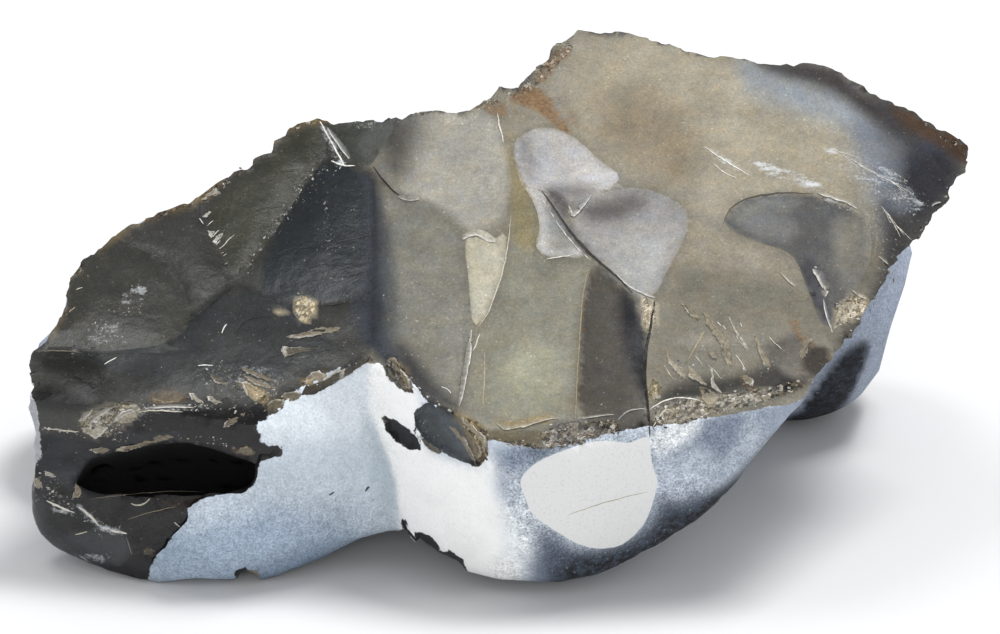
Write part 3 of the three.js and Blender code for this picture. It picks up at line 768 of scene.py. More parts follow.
def stone_mesh():
    points, squares = cell_mesh()
    facing = square_normals(points, squares)
    middles = points[squares].mean(1)
    turned = (facing * unit(EYE - middles)).sum(-1)
    u, v, d = to_sheet(middles)
    broken = np.max(cuts(middles, u, v, d)[:3], 0) - nodule_distance(middles, u, v, d)
    points, faces = refine(points, squares, (turned > FINE_TURNED) & (broken > -FINE_REACH))
    return on_facet_edges(pulled_to_skin(points)), faces


points, faces = stone_mesh()
low = np.array(cad_box[0]) / MM
high = np.array(cad_box[1]) / MM
points = np.clip(points, low, high)

stone_data = bpy.data.meshes.new("flint_nodule")
stone_data.from_pydata((points * MM).tolist(), [], faces)
stone_data.validate()
stone_data.shade_smooth()
stone_data.set_sharp_from_angle(angle=math.radians(SHARP_DEGREES))
stone = bpy.data.objects.new("flint_nodule", stone_data)
bpy.context.scene.collection.objects.link(stone)


# ---------- what the stone is painted with: soft patches of tone, and thin lines ----------
def linear(hex_colour):
    """An sRGB hex colour as linear red, green and blue."""
    channels = np.array([int(hex_colour[n : n + 2], 16) / 255 for n in (1, 3, 5)])
    return np.where(channels <= 0.04045, channels / 12.92, ((channels + 0.055) / 1.055) ** 2.4)


# Tones of the flint as it looks under the studio light: softness of the patch's edge in mm, colour, outline.
# Later patches lie over earlier ones.
FLINT_PATCHES = [
    (3, "#4b4b49", (10,350, 60,230, 310,90, 345,105, 372,160, 385,430, 10,600)),
    (2.5, "#807f77", (385,180, 440,205, 465,238, 472,330, 462,412, 400,380, 390,300)),
    (3, "#86847a", (412,205, 440,207, 465,238, 472,330, 464,400, 440,385, 420,345, 410,270)),
    # Dark flint along the fold, made darker still by painted shade in the fold's hollow.
    (2, "#44484e", (350,180, 374,166, 386,204, 385,300, 390,340, 425,392, 440,412, 400,385, 374,352,
        350,330)),
    (3, "#4c4c4d", (392,340, 404,340, 432,380, 460,404, 458,412, 425,400, 400,372)),
    (1.5, "#8b897c", (505,228, 530,190, 560,250, 592,262, 582,300, 575,425, 520,442, 478,440, 470,400,
        480,330, 497,290)),
    (6, "#9b9a88", (500,345, 560,340, 565,400, 520,410, 495,400)),
    (2, "#a3a097", (380,112, 495,108, 508,150, 514,185, 506,215, 470,235, 440,207, 405,197, 385,182,
        374,165)),
    (6, "#5e5d59", (375,112, 425,106, 415,165, 395,190, 374,165)),
    (2, "#8e8569", (504,120, 516,165, 533,203, 541,246, 528,252, 512,240, 510,190)),
    (5, "#a29b8a", (580,30, 700,50, 860,84, 900,150, 860,200, 740,200, 660,180, 600,150, 560,90)),
    (6, "#8d8371", (590,100, 650,85, 690,110, 700,190, 640,170, 600,140)),
    (6, "#9a9d9d", (735,58, 800,64, 850,80, 850,118, 790,112, 745,92)),
    (4, "#9c9586", (690,190, 730,190, 722,230, 790,262, 800,330, 700,330, 655,300, 690,240)),
    (0.4, "#fbeed2", (638,302, 655,298, 653,325, 646,336)),
    (0.4, "#c4b183", (646,378, 664,384, 656,400, 648,408)),
    (5, "#817d70", (655,300, 700,300, 790,270, 820,330, 800,360, 730,372, 690,370, 655,385)),
    (4, "#8a867b", (670,330, 720,325, 790,330, 815,350, 800,395, 700,412, 654,425, 655,380)),
    (3, "#4b4a48", (655,392, 690,378, 730,378, 775,360, 806,345, 825,372, 785,398, 700,412, 652,436)),
    (6, "#7d828a", (840,100, 880,110, 925,190, 915,240, 880,240, 872,200, 850,150)),
    (7, "#4a4d55", (866,75, 985,140, 905,275, 890,215, 905,160, 870,115)),
    (4, "#4c4b4b", (880,190, 950,160, 975,160, 850,350, 830,345, 868,300, 885,240)),
    (5, "#8f959b", (740,62, 780,78, 830,95, 870,120, 840,125, 790,105, 745,80)),
    (3, "#4d4b4c", (752,55, 800,58, 838,66, 852,82, 882,104, 920,120, 935,146, 900,138, 860,112, 830,90,
        790,80, 760,70)),
    (2, "#57493f", (885,102, 920,108, 945,124, 972,130, 978,160, 962,166, 930,140, 900,124)),
    (3, "#434348", (905,150, 940,148, 962,168, 940,200, 915,225, 905,200)),
    (1, "#3b3f42", (325,160, 345,162, 368,185, 366,300, 300,300, 255,290, 275,232, 295,200)),
    (2, "#464849", (140,349, 236,284, 290,300, 350,350, 260,385, 160,390, 60,350)),
    # Painted shade on the slope under the end bulge's ridge.
    (2, "#383937", (38,352, 85,353, 113,378, 104,405, 80,385, 40,372)),
    (2, "#2d2f2c", (30,385, 70,385, 100,412, 30,410)),
    (0.8, "#3f413d", (312,114, 345,108, 400,108, 392,135, 378,150, 368,160, 345,160, 328,140)),
    (0.5, "#b9ae98", (833,300, 868,294, 870,312, 838,328)),
    (0.3, "#d6c6a4", (295,304, 300,297, 306,296, 314,300, 315,310, 308,323, 300,322, 296,314)),
    (0.3, "#c9bb9c", (278,309, 283,308, 286,312, 282,316, 278,315)),
    (1, "#2d2e31", (36,432, 78,434, 100,438, 143,411, 200,409, 262,404, 330,384, 284,412, 284,460, 262,470,
        262,600, 0,600, 0,450, 36,460)),
    (3, "#3a3c40", (60,450, 90,456, 76,478, 60,500, 40,470)),
    (2, "#35373a", (110,442, 150,420, 190,414, 190,432, 150,438, 120,448)),
    (1.5, "#37393b", (20,500, 50,500, 100,540, 120,566, 60,570, 20,545)),
    (2, "#47494a", (88,532, 126,532, 128,552, 92,550)),
    (1, "#2e3034", (126,512, 150,508, 188,508, 175,535, 158,552, 135,550)),
    (0.8, "#3c342e", (140,500, 206,495, 190,508, 165,514, 148,513)),
    (0.5, "#262b31", (376,405, 414,400, 430,401, 478,420, 490,440, 490,590, 376,590)),
    (0.5, "#5a6167", (414,417, 416,409, 428,405, 451,411, 466,432, 474,462, 457,461, 437,450, 422,438)),
    (1.5, "#51575c", (416,405, 436,408, 440,428, 476,468, 450,460, 425,445, 412,425)),
    (0.6, "#8a7a5c", (452,411, 468,415, 482,424, 488,440, 487,455, 480,467, 470,442, 460,425)),
    (0.4, "#7d6f56", (393,357, 399,361, 408,374, 415,392, 408,392, 402,378)),
    (0.5, "#3f3b35", (395,540, 412,542, 414,552, 396,552)),
    (0.8, "#6d6657", (488,428, 512,432, 545,428, 545,450, 494,450, 486,442)),
    (0.8, "#777470", (540,424, 610,416, 650,414, 652,440, 600,444, 560,450, 540,450)),
    (0.5, "#a08e68", (494,420, 502,422, 516,422, 542,416, 560,415, 542,422, 522,427, 504,429)),
    (0.4, "#2a2a2d", (618,422, 626,413, 636,409, 648,409, 649,436, 639,434, 623,426)),
    (0.4, "#343335", (651,428, 658,414, 668,408, 673,414, 671,424, 660,432)),
    (0.4, "#2b2a2b", (684,401, 700,401, 706,406, 700,413, 686,411)),
    (0.5, "#b5a078", (240,380, 252,384, 272,396, 266,404, 252,398)),
    (0.6, "#8d7a5a", (300,386, 312,376, 336,372, 338,378, 316,386)),
    (0.6, "#6b5534", (150,398, 166,391, 187,396, 182,403, 155,404)),
    (0.8, "#6e6552", (262,404, 300,392, 340,376, 372,355, 376,360, 270,416)),
    (0.6, "#8f8a7c", (82,416, 100,404, 142,404, 144,412, 112,432, 90,438, 80,428)),
    (1, "#75716a", (765,350, 790,330, 805,340, 803,362, 810,378, 790,378, 775,366)),
    (0.8, "#4f4a45", (806,342, 836,350, 826,372, 812,378, 802,366)),
    (0.6, "#3d3a38", (781,378, 795,381, 808,379, 800,388, 785,394, 778,390)),
    (0.7, "#9a958a", (655,404, 700,397, 790,386, 760,402, 700,416, 655,430)),
    (6, "#7e7a6e", (690,262, 740,268, 790,282, 790,320, 700,320, 662,300)),
    # Painted shade in the fold's hollow, over the flint's own dark band.
    (3, "#54575a", (381,210, 391,225, 397,300, 396,345, 384,350)),
    (3, "#70757c", (878,178, 905,188, 916,205, 900,215, 882,204)),
]
# Facets whose tone changes sharply at their outline, and the tones within them, as above.
SHARP_SCARS = ["tip lens", "left upper", "sliver", "grey upper", "grey wedge", "grey lower", "brown facet",
    "right oval", "top notch"]
SCAR_PATCHES = [
    (1.5, "#4b4d49", (300,100, 410,95, 400,170, 345,170, 322,140)),
    (0.5, "#bab9b9", (514,138, 545,125, 580,140, 602,165, 640,184, 600,192, 572,205, 545,190, 562,230,
        590,257, 546,258, 534,246, 540,232, 533,200, 516,165)),
    (2.5, "#858383", (535,185, 600,182, 598,200, 560,200)),
    (0.5, "#979695", (600,190, 640,185, 672,197, 690,213, 686,238, 668,268, 656,297, 632,294, 600,262,
        575,232, 572,205)),
    (2.5, "#736f6e", (580,205, 640,192, 650,208, 610,222, 585,222)),
    # Painted sheen: the lower part of the grey facet is lighter where it catches the light.
    (4, "#a9a9a7", (618,240, 668,235, 664,270, 654,292, 630,285, 612,262)),
    (4, "#8c8a8a", (514,138, 530,132, 538,180, 524,184)),
    (0.5, "#676565", (542,189, 556,190, 568,199, 568,220, 576,234, 598,262, 612,280, 596,268, 576,246,
        558,218)),
    (0.4, "#5d5a55", (593,262, 618,280, 636,300, 645,340, 650,436, 575,430, 580,330, 584,290)),
    (3, "#38393d", (620,290, 637,300, 650,350, 650,400, 630,370, 620,330)),
    (0.5, "#636363", (723,226, 727,211, 745,198, 780,192, 815,194, 868,216, 872,262, 850,300, 822,330,
        798,262, 785,251, 765,246, 745,238)),
    (2, "#7c7d7a", (730,212, 760,196, 800,195, 800,208, 760,212, 738,228)),
    (2, "#55555a", (798,258, 815,256, 822,290, 832,328, 822,328, 808,290)),
    (2.5, "#7b7b7b", (735,222, 760,208, 800,222, 790,245, 760,238)),
    (2.5, "#807d75", (832,215, 862,215, 868,262, 845,295, 835,260)),
    (0.5, "#4b4b47", (68,275, 110,242, 150,252, 175,275, 190,300, 191,325, 168,345, 100,352, 40,350,
        60,312)),
    (0.5, "#4a4a43", (200,216, 285,133, 318,120, 325,160, 295,200, 262,250, 237,283, 213,243)),
    (1, "#b9b5a3", (463,238, 480,233, 509,222, 505,258, 497,290, 485,318, 473,330, 469,290)),
    (2, "#92938f", (548,200, 560,212, 572,236, 574,250, 552,254, 546,235)),
]
# Sharp scars of the left break, and their tones.
LEFT_SCARS = {
    "#27282f": (126,520, 140,513, 160,511, 178,506, 189,508, 184,520, 150,550, 136,556, 127,540),
    "#434548": (68,532, 88,532, 100,529, 126,535, 132,556, 120,567, 80,562, 50,553, 52,541),
    "#1d2024": (40,505, 52,511, 76,515, 88,520, 84,532, 62,532, 46,524),
    "#151518": (44,478, 58,480, 68,488, 72,498, 60,502, 46,494),
    "#232429": (130,420, 150,412, 262,410, 264,430, 250,446, 225,443, 195,437, 175,431, 150,436, 132,432),
    "#303236": (30,432, 60,434, 90,446, 78,470, 60,474, 40,470),
    "#2b2a2b": (82,500, 110,498, 150,499, 172,504, 150,513, 128,520, 124,532, 100,524, 86,510),
}
SCAR_PATCHES += [(0.5, tone, marks) for tone, marks in LEFT_SCARS.items()]
# Bands where the edge of the flint is crushed to crumbs: softness, strength, outline.
CRUMB_PATCHES = [
    (1, 1, (542,426, 612,419, 620,426, 622,438, 560,448, 542,447)),
    (0.6, 0.7, (494,441, 542,441, 542,449, 494,448)),
    (1, 1, (655,404, 700,397, 760,390, 808,377, 795,393, 740,408, 690,418, 655,432)),
    (1, 1, (262,406, 330,384, 374,355, 376,360, 270,416)),
    (1, 0.9, (80,420, 100,404, 142,404, 144,412, 112,432, 90,438)),
    (1.2, 0.9, (196,200, 215,178, 290,124, 340,106, 345,113, 320,121, 290,131, 262,151, 225,182, 206,204)),
    (1.2, 0.7, (130,222, 165,206, 196,198, 192,208, 160,217, 135,229)),
    (1.2, 0.6, (66,276, 80,254, 100,246, 84,262, 72,282)),
    (0.5, 1, (296,303, 300,298, 308,296, 314,300, 314,310, 308,322, 300,322, 295,312)),
    (0.5, 1, (638,302, 655,298, 653,325, 646,336)),
    (0.5, 1, (646,378, 664,384, 656,400, 648,408)),
    (0.8, 0.8, (833,300, 868,294, 870,312, 838,328)),
    (0.6, 0.7, (458,412, 482,424, 488,440, 486,458, 478,466, 474,445)),
    (0.6, 0.6, (385,366, 391,357, 408,374, 414,392, 405,391)),
    (0.6, 0.8, (486,566, 515,568, 514,582, 486,582)),
    (1, 0.6, (398,106, 440,104, 498,98, 512,88, 512,98, 480,111, 400,117)),
    (1, 0.6, (500,92, 530,72, 560,38, 580,30, 572,50, 545,80, 520,100)),
    (1, 0.5, (900,105, 950,130, 974,156, 966,160, 940,136, 900,112)),
    (1, 0.7, (955,195, 872,314, 866,306, 945,196)),
    (1, 0.5, (822,372, 850,338, 872,314, 864,308, 812,372)),
    (0.6, 0.8, (240,380, 252,384, 272,396, 266,404, 252,398)),
    (0.6, 0.7, (300,386, 312,376, 336,372, 338,378, 316,386)),
]
# Iron stain on the flint: softness, strength, outline.
RUST_PATCHES = [
    (1, 1, (505,98, 530,84, 548,92, 562,118, 576,137, 560,132, 540,112, 520,106)),
    (1, 0.8, (474,112, 490,104, 506,100, 508,112, 500,120, 488,112)),
    (0.8, 0.8, (533,84, 542,62, 556,50, 572,46, 570,56, 556,66, 546,84)),
    (1, 0.5, (558,108, 575,108, 585,125, 575,132)),
    (0.8, 0.8, (788,318, 800,320, 803,338, 822,345, 808,348, 792,338)),
    (0.5, 0.6, (583,300, 587,300, 581,372, 577,372)),
    (0.8, 0.6, (735,372, 752,378, 758,395, 742,392)),
    (0.8, 0.7, (150,392, 170,390, 187,396, 170,404, 152,402)),
    (0.6, 0.7, (232,448, 246,445, 257,450, 250,458, 236,456)),
    (0.6, 0.7, (143,550, 152,546, 160,552, 152,558, 144,557)),
    (0.6, 0.4, (640,300, 654,300, 650,332, 644,332)),
]
# White frosting and crumbs on the flint, partly painted highlight where facets catch the light: softness,
# strength, outline.
FROST_AND_GLINT_PATCHES = [
    # White streaks on the right: partly frosting, partly painted reflection of the light.
    (1.2, 0.85, (702,143, 710,144, 756,174, 750,178, 728,168, 712,156)),
    (1.2, 0.82, (748,159, 762,160, 800,172, 826,182, 824,190, 800,188, 775,180, 758,172)),
    (1.2, 0.85, (815,146, 832,144, 852,154, 846,160, 828,155)),
    (3, 0.65, (820,158, 860,155, 905,178, 932,212, 918,224, 885,205, 850,180)),
    (1.5, 0.8, (870,160, 890,166, 918,192, 926,212, 912,208, 890,186)),
    (1, 0.9, (824,194, 840,197, 860,206, 856,212, 838,207, 826,201)),
    (1, 1, (866,208, 874,210, 877,236, 872,252, 867,240)),
    (2, 0.6, (672,114, 695,122, 700,132, 680,130)),
    (2, 0.7, (820,192, 865,206, 860,216, 825,205)),
    (3, 0.45, (860,200, 900,205, 905,245, 880,290, 862,300, 870,250)),
    (3, 0.25, (660,330, 790,330, 800,380, 700,410, 655,420)),
    # Partly painted glint: the next three patches are the tip lens's bluish band that catches the light, with
    # white crumbs in it.
    (1.5, 1, (130,283, 142,281, 150,292, 140,300, 122,306, 118,298)),
    (3, 0.55, (140,285, 150,296, 110,338, 82,352, 76,344, 105,314)),
    (2, 0.7, (88,318, 112,325, 130,338, 122,348, 95,345, 70,362, 66,352, 90,335)),
    # Painted highlight: the bright streak on the top facet's edge.
    (1.5, 0.9, (316,118, 330,128, 350,165, 338,168, 328,150)),
    (1.5, 0.55, (298,178, 322,160, 342,162, 330,178, 300,198, 282,228, 262,250, 240,278, 258,242, 280,205)),
    (1.5, 0.45, (322,168, 332,172, 330,220, 334,262, 352,300, 340,296, 322,268, 320,220)),
    (1.5, 0.4, (332,250, 360,244, 372,250, 350,262, 334,264)),
    (1.5, 0.6, (345,118, 375,115, 380,128, 350,132)),
    (1.5, 0.6, (84,410, 140,402, 210,403, 212,411, 145,420, 100,436, 84,425)),
    (1.5, 0.6, (190,366, 290,360, 290,402, 240,404, 200,390)),
    (1.5, 0.5, (32,470, 60,475, 80,505, 130,530, 120,545, 70,515, 36,500)),
    (1, 1.1, (78,504, 86,508, 100,524, 128,534, 126,538, 98,530, 82,514)),
    (1, 0.9, (50,508, 75,512, 74,517, 50,513)),
    (1, 1.0, (44,471, 58,475, 58,480, 45,476)),
    (1, 0.8, (34,492, 44,500, 42,508, 33,498)),
    (1.2, 0.9, (46,552, 80,554, 110,560, 100,564, 60,560)),
    (1.5, 0.8, (78,552, 112,552, 112,562, 78,560)),
    (3, 0.4, (440,120, 500,112, 512,200, 460,225)),
    (3, 0.35, (395,250, 470,250, 460,400, 400,350)),
    (2, 0.5, (480,92, 520,80, 570,40, 580,60, 560,95, 520,90)),
]
# Where the flint is glossier: softness, gloss, outline.
FLINT_GLOSS = [
    (2, 0.65, (514,138, 580,140, 690,213, 656,297, 600,262, 533,200)),
    (3, 0.6, (60,240, 320,110, 370,180, 372,350, 262,400, 30,400)),
    (2, 0.7, (30,420, 262,420, 240,490, 150,575, 30,560)),
]
# Tones of the rind in front: softness, colour, outline. Some are painted shade, each marked below.
RIND_PATCHES = [
    (2, "#a3a3a8", (10,380, 45,380, 50,470, 10,470)),
    # The left lobe's patches, pale at the top and bluer and darker towards the floor: partly the rind's own
    # blue, partly painted shade.
    (9, "#d3dadf", (255,395, 385,345, 402,440, 330,455, 250,455)),
    (9, "#bdc7d0", (240,455, 395,440, 400,500, 190,510)),
    (9, "#95a5b6", (140,530, 200,505, 395,530, 395,600, 140,600)),
    (6, "#c9d3dc", (190,505, 250,500, 260,515, 210,530, 180,530)),
    (3, "#7d8ea2", (246,530, 262,522, 290,540, 292,565, 270,572, 250,552)),
    (4, "#6f8093", (240,560, 300,548, 370,545, 395,540, 395,600, 240,600)),
    (4, "#aab5bc", (362,410, 388,440, 397,480, 398,530, 372,530, 370,460)),
    (1.2, "#ecedeb", (370,350, 392,350, 394,372, 386,400, 405,470, 408,520, 401,530, 397,478, 379,436,
        367,395)),
    (2.5, "#edeeec", (386,352, 412,380, 425,405, 420,450, 480,470, 490,448, 512,500, 522,540, 528,590,
        396,590, 404,500, 380,400)),
    (5, "#d9dee2", (498,466, 520,480, 533,518, 556,545, 550,575, 520,580, 505,520)),
    (3, "#8690a0", (496,446, 522,446, 540,448, 560,446, 540,458, 520,474, 500,472)),
    (3, "#5b6470", (516,446, 545,446, 585,440, 560,450, 538,460)),
    (4, "#a9b2be", (496,472, 512,474, 520,500, 512,506, 496,496)),
    (4, "#6f798a", (524,522, 545,530, 566,545, 570,590, 530,590, 528,560)),
    (4, "#4a515e", (540,530, 556,545, 600,552, 640,535, 656,512, 662,492, 720,492, 740,480, 700,560, 620,595,
        548,595)),
    # Painted shade: this patch and the next darken the rind to near black where it turns under towards the
    # floor.
    (4, "#101216", (565,560, 600,556, 645,540, 668,512, 705,502, 745,470, 775,430, 790,430, 740,520, 640,600,
        560,600)),
    (3, "#050506", (560,584, 600,574, 660,548, 715,500, 765,448, 775,480, 660,600, 560,605)),
    (3, "#7e8898", (664,446, 690,428, 720,415, 748,408, 742,440, 715,470, 690,474, 664,472)),
    (3, "#a9b1bf", (660,478, 690,476, 720,470, 745,445, 760,440, 735,475, 700,492, 664,494)),
    (2.5, "#e6e9eb", (648,434, 668,426, 680,418, 700,416, 700,430, 680,448, 664,456, 652,452)),
    (4, "#97a1b0", (745,410, 790,390, 830,370, 915,255, 870,330, 800,420, 765,440)),
    # Painted shade: near black where the rind turns under towards the floor.
    (4, "#141518", (560,568, 640,552, 680,528, 694,540, 640,578, 590,592, 550,590)),
    (5, "#e6ebed", (505,520, 530,520, 535,556, 505,562)),
    (6, "#c0c9d4", (664,462, 700,446, 714,468, 684,500, 664,488)),
    (8, "#a3b3c5", (190,530, 290,510, 300,560, 200,575)),
    # Painted shade: near black in the hollow where the front mass meets the rear lobe.
    (4, "#101115", (806,375, 830,355, 862,345, 858,385, 820,412, 806,405)),
]
# The rear lobe's rind, seen behind the front mass, with painted shade under the front mass's edge and at the
# lobe's foot.
REAR_PATCHES = [
    (2, "#9aa3b2", (900,250, 925,250, 905,330, 870,420, 780,440, 800,400)),
    # Painted shade: the next three patches darken the rear lobe to near black under the front mass's edge and
    # at its foot.
    (0.6, "#15161b", (796,418, 810,396, 832,371, 850,351, 862,344, 871,341, 866,360, 850,400, 830,411)),
    (2, "#101216", (800,425, 825,372, 850,345, 868,340, 866,360, 852,385, 845,410, 800,440, 780,430)),
    (1.2, "#0b0a0b", (780,415, 846,405, 850,425, 780,440)),
]
# How much thin rind is specked: softness, strength, outline.
SPECKLE_PATCHES = [
    (10, 0.6, (140,495, 395,490, 395,600, 140,600)),
    (3, 0.05, (384,350, 412,380, 425,405, 420,450, 480,470, 496,460, 505,500, 520,560, 500,600, 396,600,
        404,500, 392,450, 376,400)),
    (4, 1, (500,440, 655,430, 700,430, 740,470, 640,590, 545,600, 520,555, 505,500)),
    (5, 0.7, (655,425, 790,390, 740,490, 665,480)),
    (3, 0.5, (490,560, 540,540, 560,600, 490,600)),
]
# Raw chalk, torn open in the rind.
CHALK_PATCHES = [
    (519,482, 525,472, 538,461, 559,452, 588,442, 610,440, 629,444, 638,439, 650,435, 650,452, 653,468,
        659,482, 654,498, 650,512, 642,528, 626,543, 613,548, 597,549, 578,545, 559,533, 543,523, 531,514,
        525,497),
]
# Thin lips and dark lines along the edges of scars: tone, half width in mm, lift in mm, marks. A few of them
# are painted light, each marked below.
LINES = [
    (0.8, 0.1, 0, (480,332, 476,345, 472,352)),
    (0.75, 0.09, 0, (511,215, 507,255, 498,288, 486,318, 474,331)),
    (0.62, 0.09, 0, (484,350, 485,375, 483,408)),
    (0.85, 0.13, 0.1, (545,259, 562,257, 580,253)),
    (0.85, 0.12, 0.1, (497,112, 500,128, 504,144)),
    (0.62, 0.09, 0, (515,165, 523,186, 533,200, 539,218, 540,232, 534,246, 546,258)),
    # Painted shade: a dark line on the slope under the upper middle edge, which faces down.
    (0.08, 0.13, 0, (372,165, 383,180, 395,193, 406,199)),
    # Painted highlight: the bright streak on the top facet's edge, on a thin lip.
    (0.95, 0.2, 0.15, (319,120, 330,140, 345,167)),
    (0.9, 0.14, 0.1, (330,160, 342,166, 356,166)),
    (0.05, 0.14, 0, (286,357, 312,353, 350,346)),
    (0.08, 0.1, 0, (315,306, 335,304, 350,302)),
    (0.05, 0.13, 0, (322,245, 340,242, 355,238, 375,235)),
    (0.08, 0.1, 0, (262,268, 275,254, 292,248, 315,247)),
    (0.08, 0.09, 0, (236,338, 239,326, 254,317, 274,317)),
    (0.08, 0.13, 0, (146,350, 168,343, 188,322, 212,303, 236,284)),
    (0.35, 0.09, 0, (37,352, 62,350, 84,353)),
    (0.9, 0.12, 0, (221,335, 223,328, 228,322)),
    (0.9, 0.1, 0, (196,366, 206,365, 215,365)),
    (0.85, 0.1, 0, (103,365, 112,360, 119,355)),
    (0.7, 0.1, 0, (73,291, 84,287)),
    (0.6, 0.08, 0, (65,316, 76,306)),
    (0.04, 0.28, 0, (655,298, 651,325, 643,368, 648,408, 650,438)),
    (0.88, 0.13, 0, (649,410, 658,404, 668,399, 684,397, 699,400, 706,403)),
    (0.7, 0.14, 0, (652,428, 660,415, 668,407, 674,416, 672,424)),
    # Painted shade: a dark line on the cliff of the dark ridge, which faces away from the light.
    (0.22, 0.22, 0.05, (541,189, 575,239, 598,261, 618,277, 634,295)),
    (0.85, 0.1, 0.1, (538,192, 550,212, 570,241, 592,262)),
    (0.55, 0.1, 0, (590,262, 583,292, 580,330, 577,380, 575,424)),
    (0.9, 0.14, 0.1, (703,146, 725,161, 752,177)),
    (0.9, 0.1, 0.1, (712,163, 726,174, 738,178)),
    (0.5, 0.1, 0, (871,206, 878,232, 874,258)),
    (0.6, 0.12, 0.1, (705,330, 695,348, 688,360)),
    (0.3, 0.12, 0, (723,226, 727,211, 745,198, 780,192, 815,194)),
    (0.6, 0.08, 0, (745,238, 765,246, 785,251, 797,262)),
    (0.75, 0.12, 0.1, (130,503, 136,506, 145,504, 151,497)),
    (0.75, 0.12, 0.1, (42,428, 62,430, 80,432)),
    (0.85, 0.16, 0.1, (45,500, 62,508, 76,513)),
    (0.85, 0.2, 0.1, (77,506, 90,515, 100,527)),
    (0.85, 0.18, 0.1, (109,530, 118,532, 128,534)),
    (0.7, 0.1, 0, (73,535, 82,533, 89,531)),
    (0.9, 0.1, 0, (173,521, 178,525, 183,529)),
    (0.65, 0.2, 0.2, (416,560, 432,571, 455,577, 470,577)),
    (0.62, 0.06, 0, (566,516, 590,507, 620,498, 650,491)),
    (0.16, 0.2, 0, (362,494, 366,489, 371,484)),
    (0.2, 0.14, 0, (328,496, 335,491)),
    (0.85, 0.14, 0.1, (895,245, 903,252)),
    (0.85, 0.09, 0.05, (199,217, 202,222, 204,225)),
    (0.9, 0.08, 0.05, (205,227, 209,224, 214,220)),
    (0.9, 0.08, 0.05, (211,238, 215,234, 220,229)),
    (0.9, 0.08, 0.05, (215,246, 218,243, 221,239)),
    (0.85, 0.07, 0.05, (218,250, 223,246, 229,239, 236,234)),
    (0.7, 0.06, 0.05, (220,254, 225,252)),
    (0.7, 0.06, 0.05, (222,257, 228,253)),
    (0.7, 0.06, 0.05, (224,265, 229,262)),
    (0.9, 0.07, 0.05, (716,321, 722,327)),
    (0.85, 0.07, 0.05, (722,325, 727,330)),
    (0.9, 0.07, 0.05, (740,322, 742,328)),
    (0.85, 0.06, 0.05, (694,354, 703,365)),
    (0.85, 0.06, 0.05, (735,353, 741,362, 747,372)),
    (0.85, 0.06, 0.05, (768,335, 776,345, 786,352)),
    (0.8, 0.06, 0.05, (663,364, 670,374, 674,380)),
    (0.8, 0.06, 0.05, (707,364, 716,372, 722,380)),
    (0.5, 0.06, 0, (126,520, 150,512, 178,506)),
    (0.45, 0.06, 0, (126,535, 132,556)),
    (0.75, 0.1, 0.05, (136,412, 158,410, 184,412)),
    (0.9, 0.1, 0.1, (440,386, 448,389, 452,395)),
]
# Thin flakes still lying on the break, pale at their lower lip: tone, half width in mm, lift in mm, marks.
FLAKES = [
    (0.85, 0.35, 0.3, (82,420, 87,415, 92,412)),
    (0.9, 0.3, 0.3, (89,425, 98,415, 114,407)),
    (0.85, 0.35, 0.3, (92,436, 100,433, 109,426)),
    (0.8, 0.4, 0.3, (112,423, 124,413, 142,409)),
    (0.86, 0.3, 0.25, (144,409, 160,407, 176,406, 196,408)),
    (0.4, 0.16, 0.2, (88,499, 110,496, 139,494, 169,491, 206,492)),
    (0.85, 0.6, 0.2, (462,240, 470,233, 482,236, 496,242)),
    (0.88, 0.4, 0.2, (471,328, 470,350, 466,378, 459,407)),
    (0.74, 0.4, 0.25, (397,196, 408,200, 421,199)),
    (0.95, 0.3, 0.3, (568,203, 571,210, 572,219, 580,209, 592,195)),
    (0.95, 0.35, 0.25, (615,272, 625,284, 638,292, 656,298)),
    (0.72, 0.4, 0.2, (780,271, 787,279, 796,287)),
    (0.85, 0.7, 0.35, (813,268, 819,276, 824,290)),
    (0.7, 0.5, 0.3, (822,285, 827,288, 824,298)),
    (0.9, 0.25, 0.25, (823,298, 827,318, 833,334)),
    (0.86, 0.5, 0.3, (816,193, 838,199, 858,209)),
    (0.7, 0.5, 0.3, (494,420, 502,428, 512,429, 523,426, 540,421, 560,417)),
    (0.8, 0.22, 0.2, (576,419, 598,416, 616,414)),
    (0.95, 0.2, 0.2, (617,421, 626,412, 636,409, 648,409)),
    (0.8, 0.35, 0.3, (876,255, 882,260, 889,265)),
    (0.8, 0.3, 0.3, (851,289, 859,296, 867,300)),
    (0.85, 0.3, 0.3, (931,207, 936,203, 942,202)),
    (0.55, 0.7, 0.3, (66,272, 76,264, 84,256)),
    (0.7, 0.6, 0.3, (298,124, 312,120, 324,118)),
    (0.95, 0.6, 0.25, (326,126, 338,144, 350,160)),
]
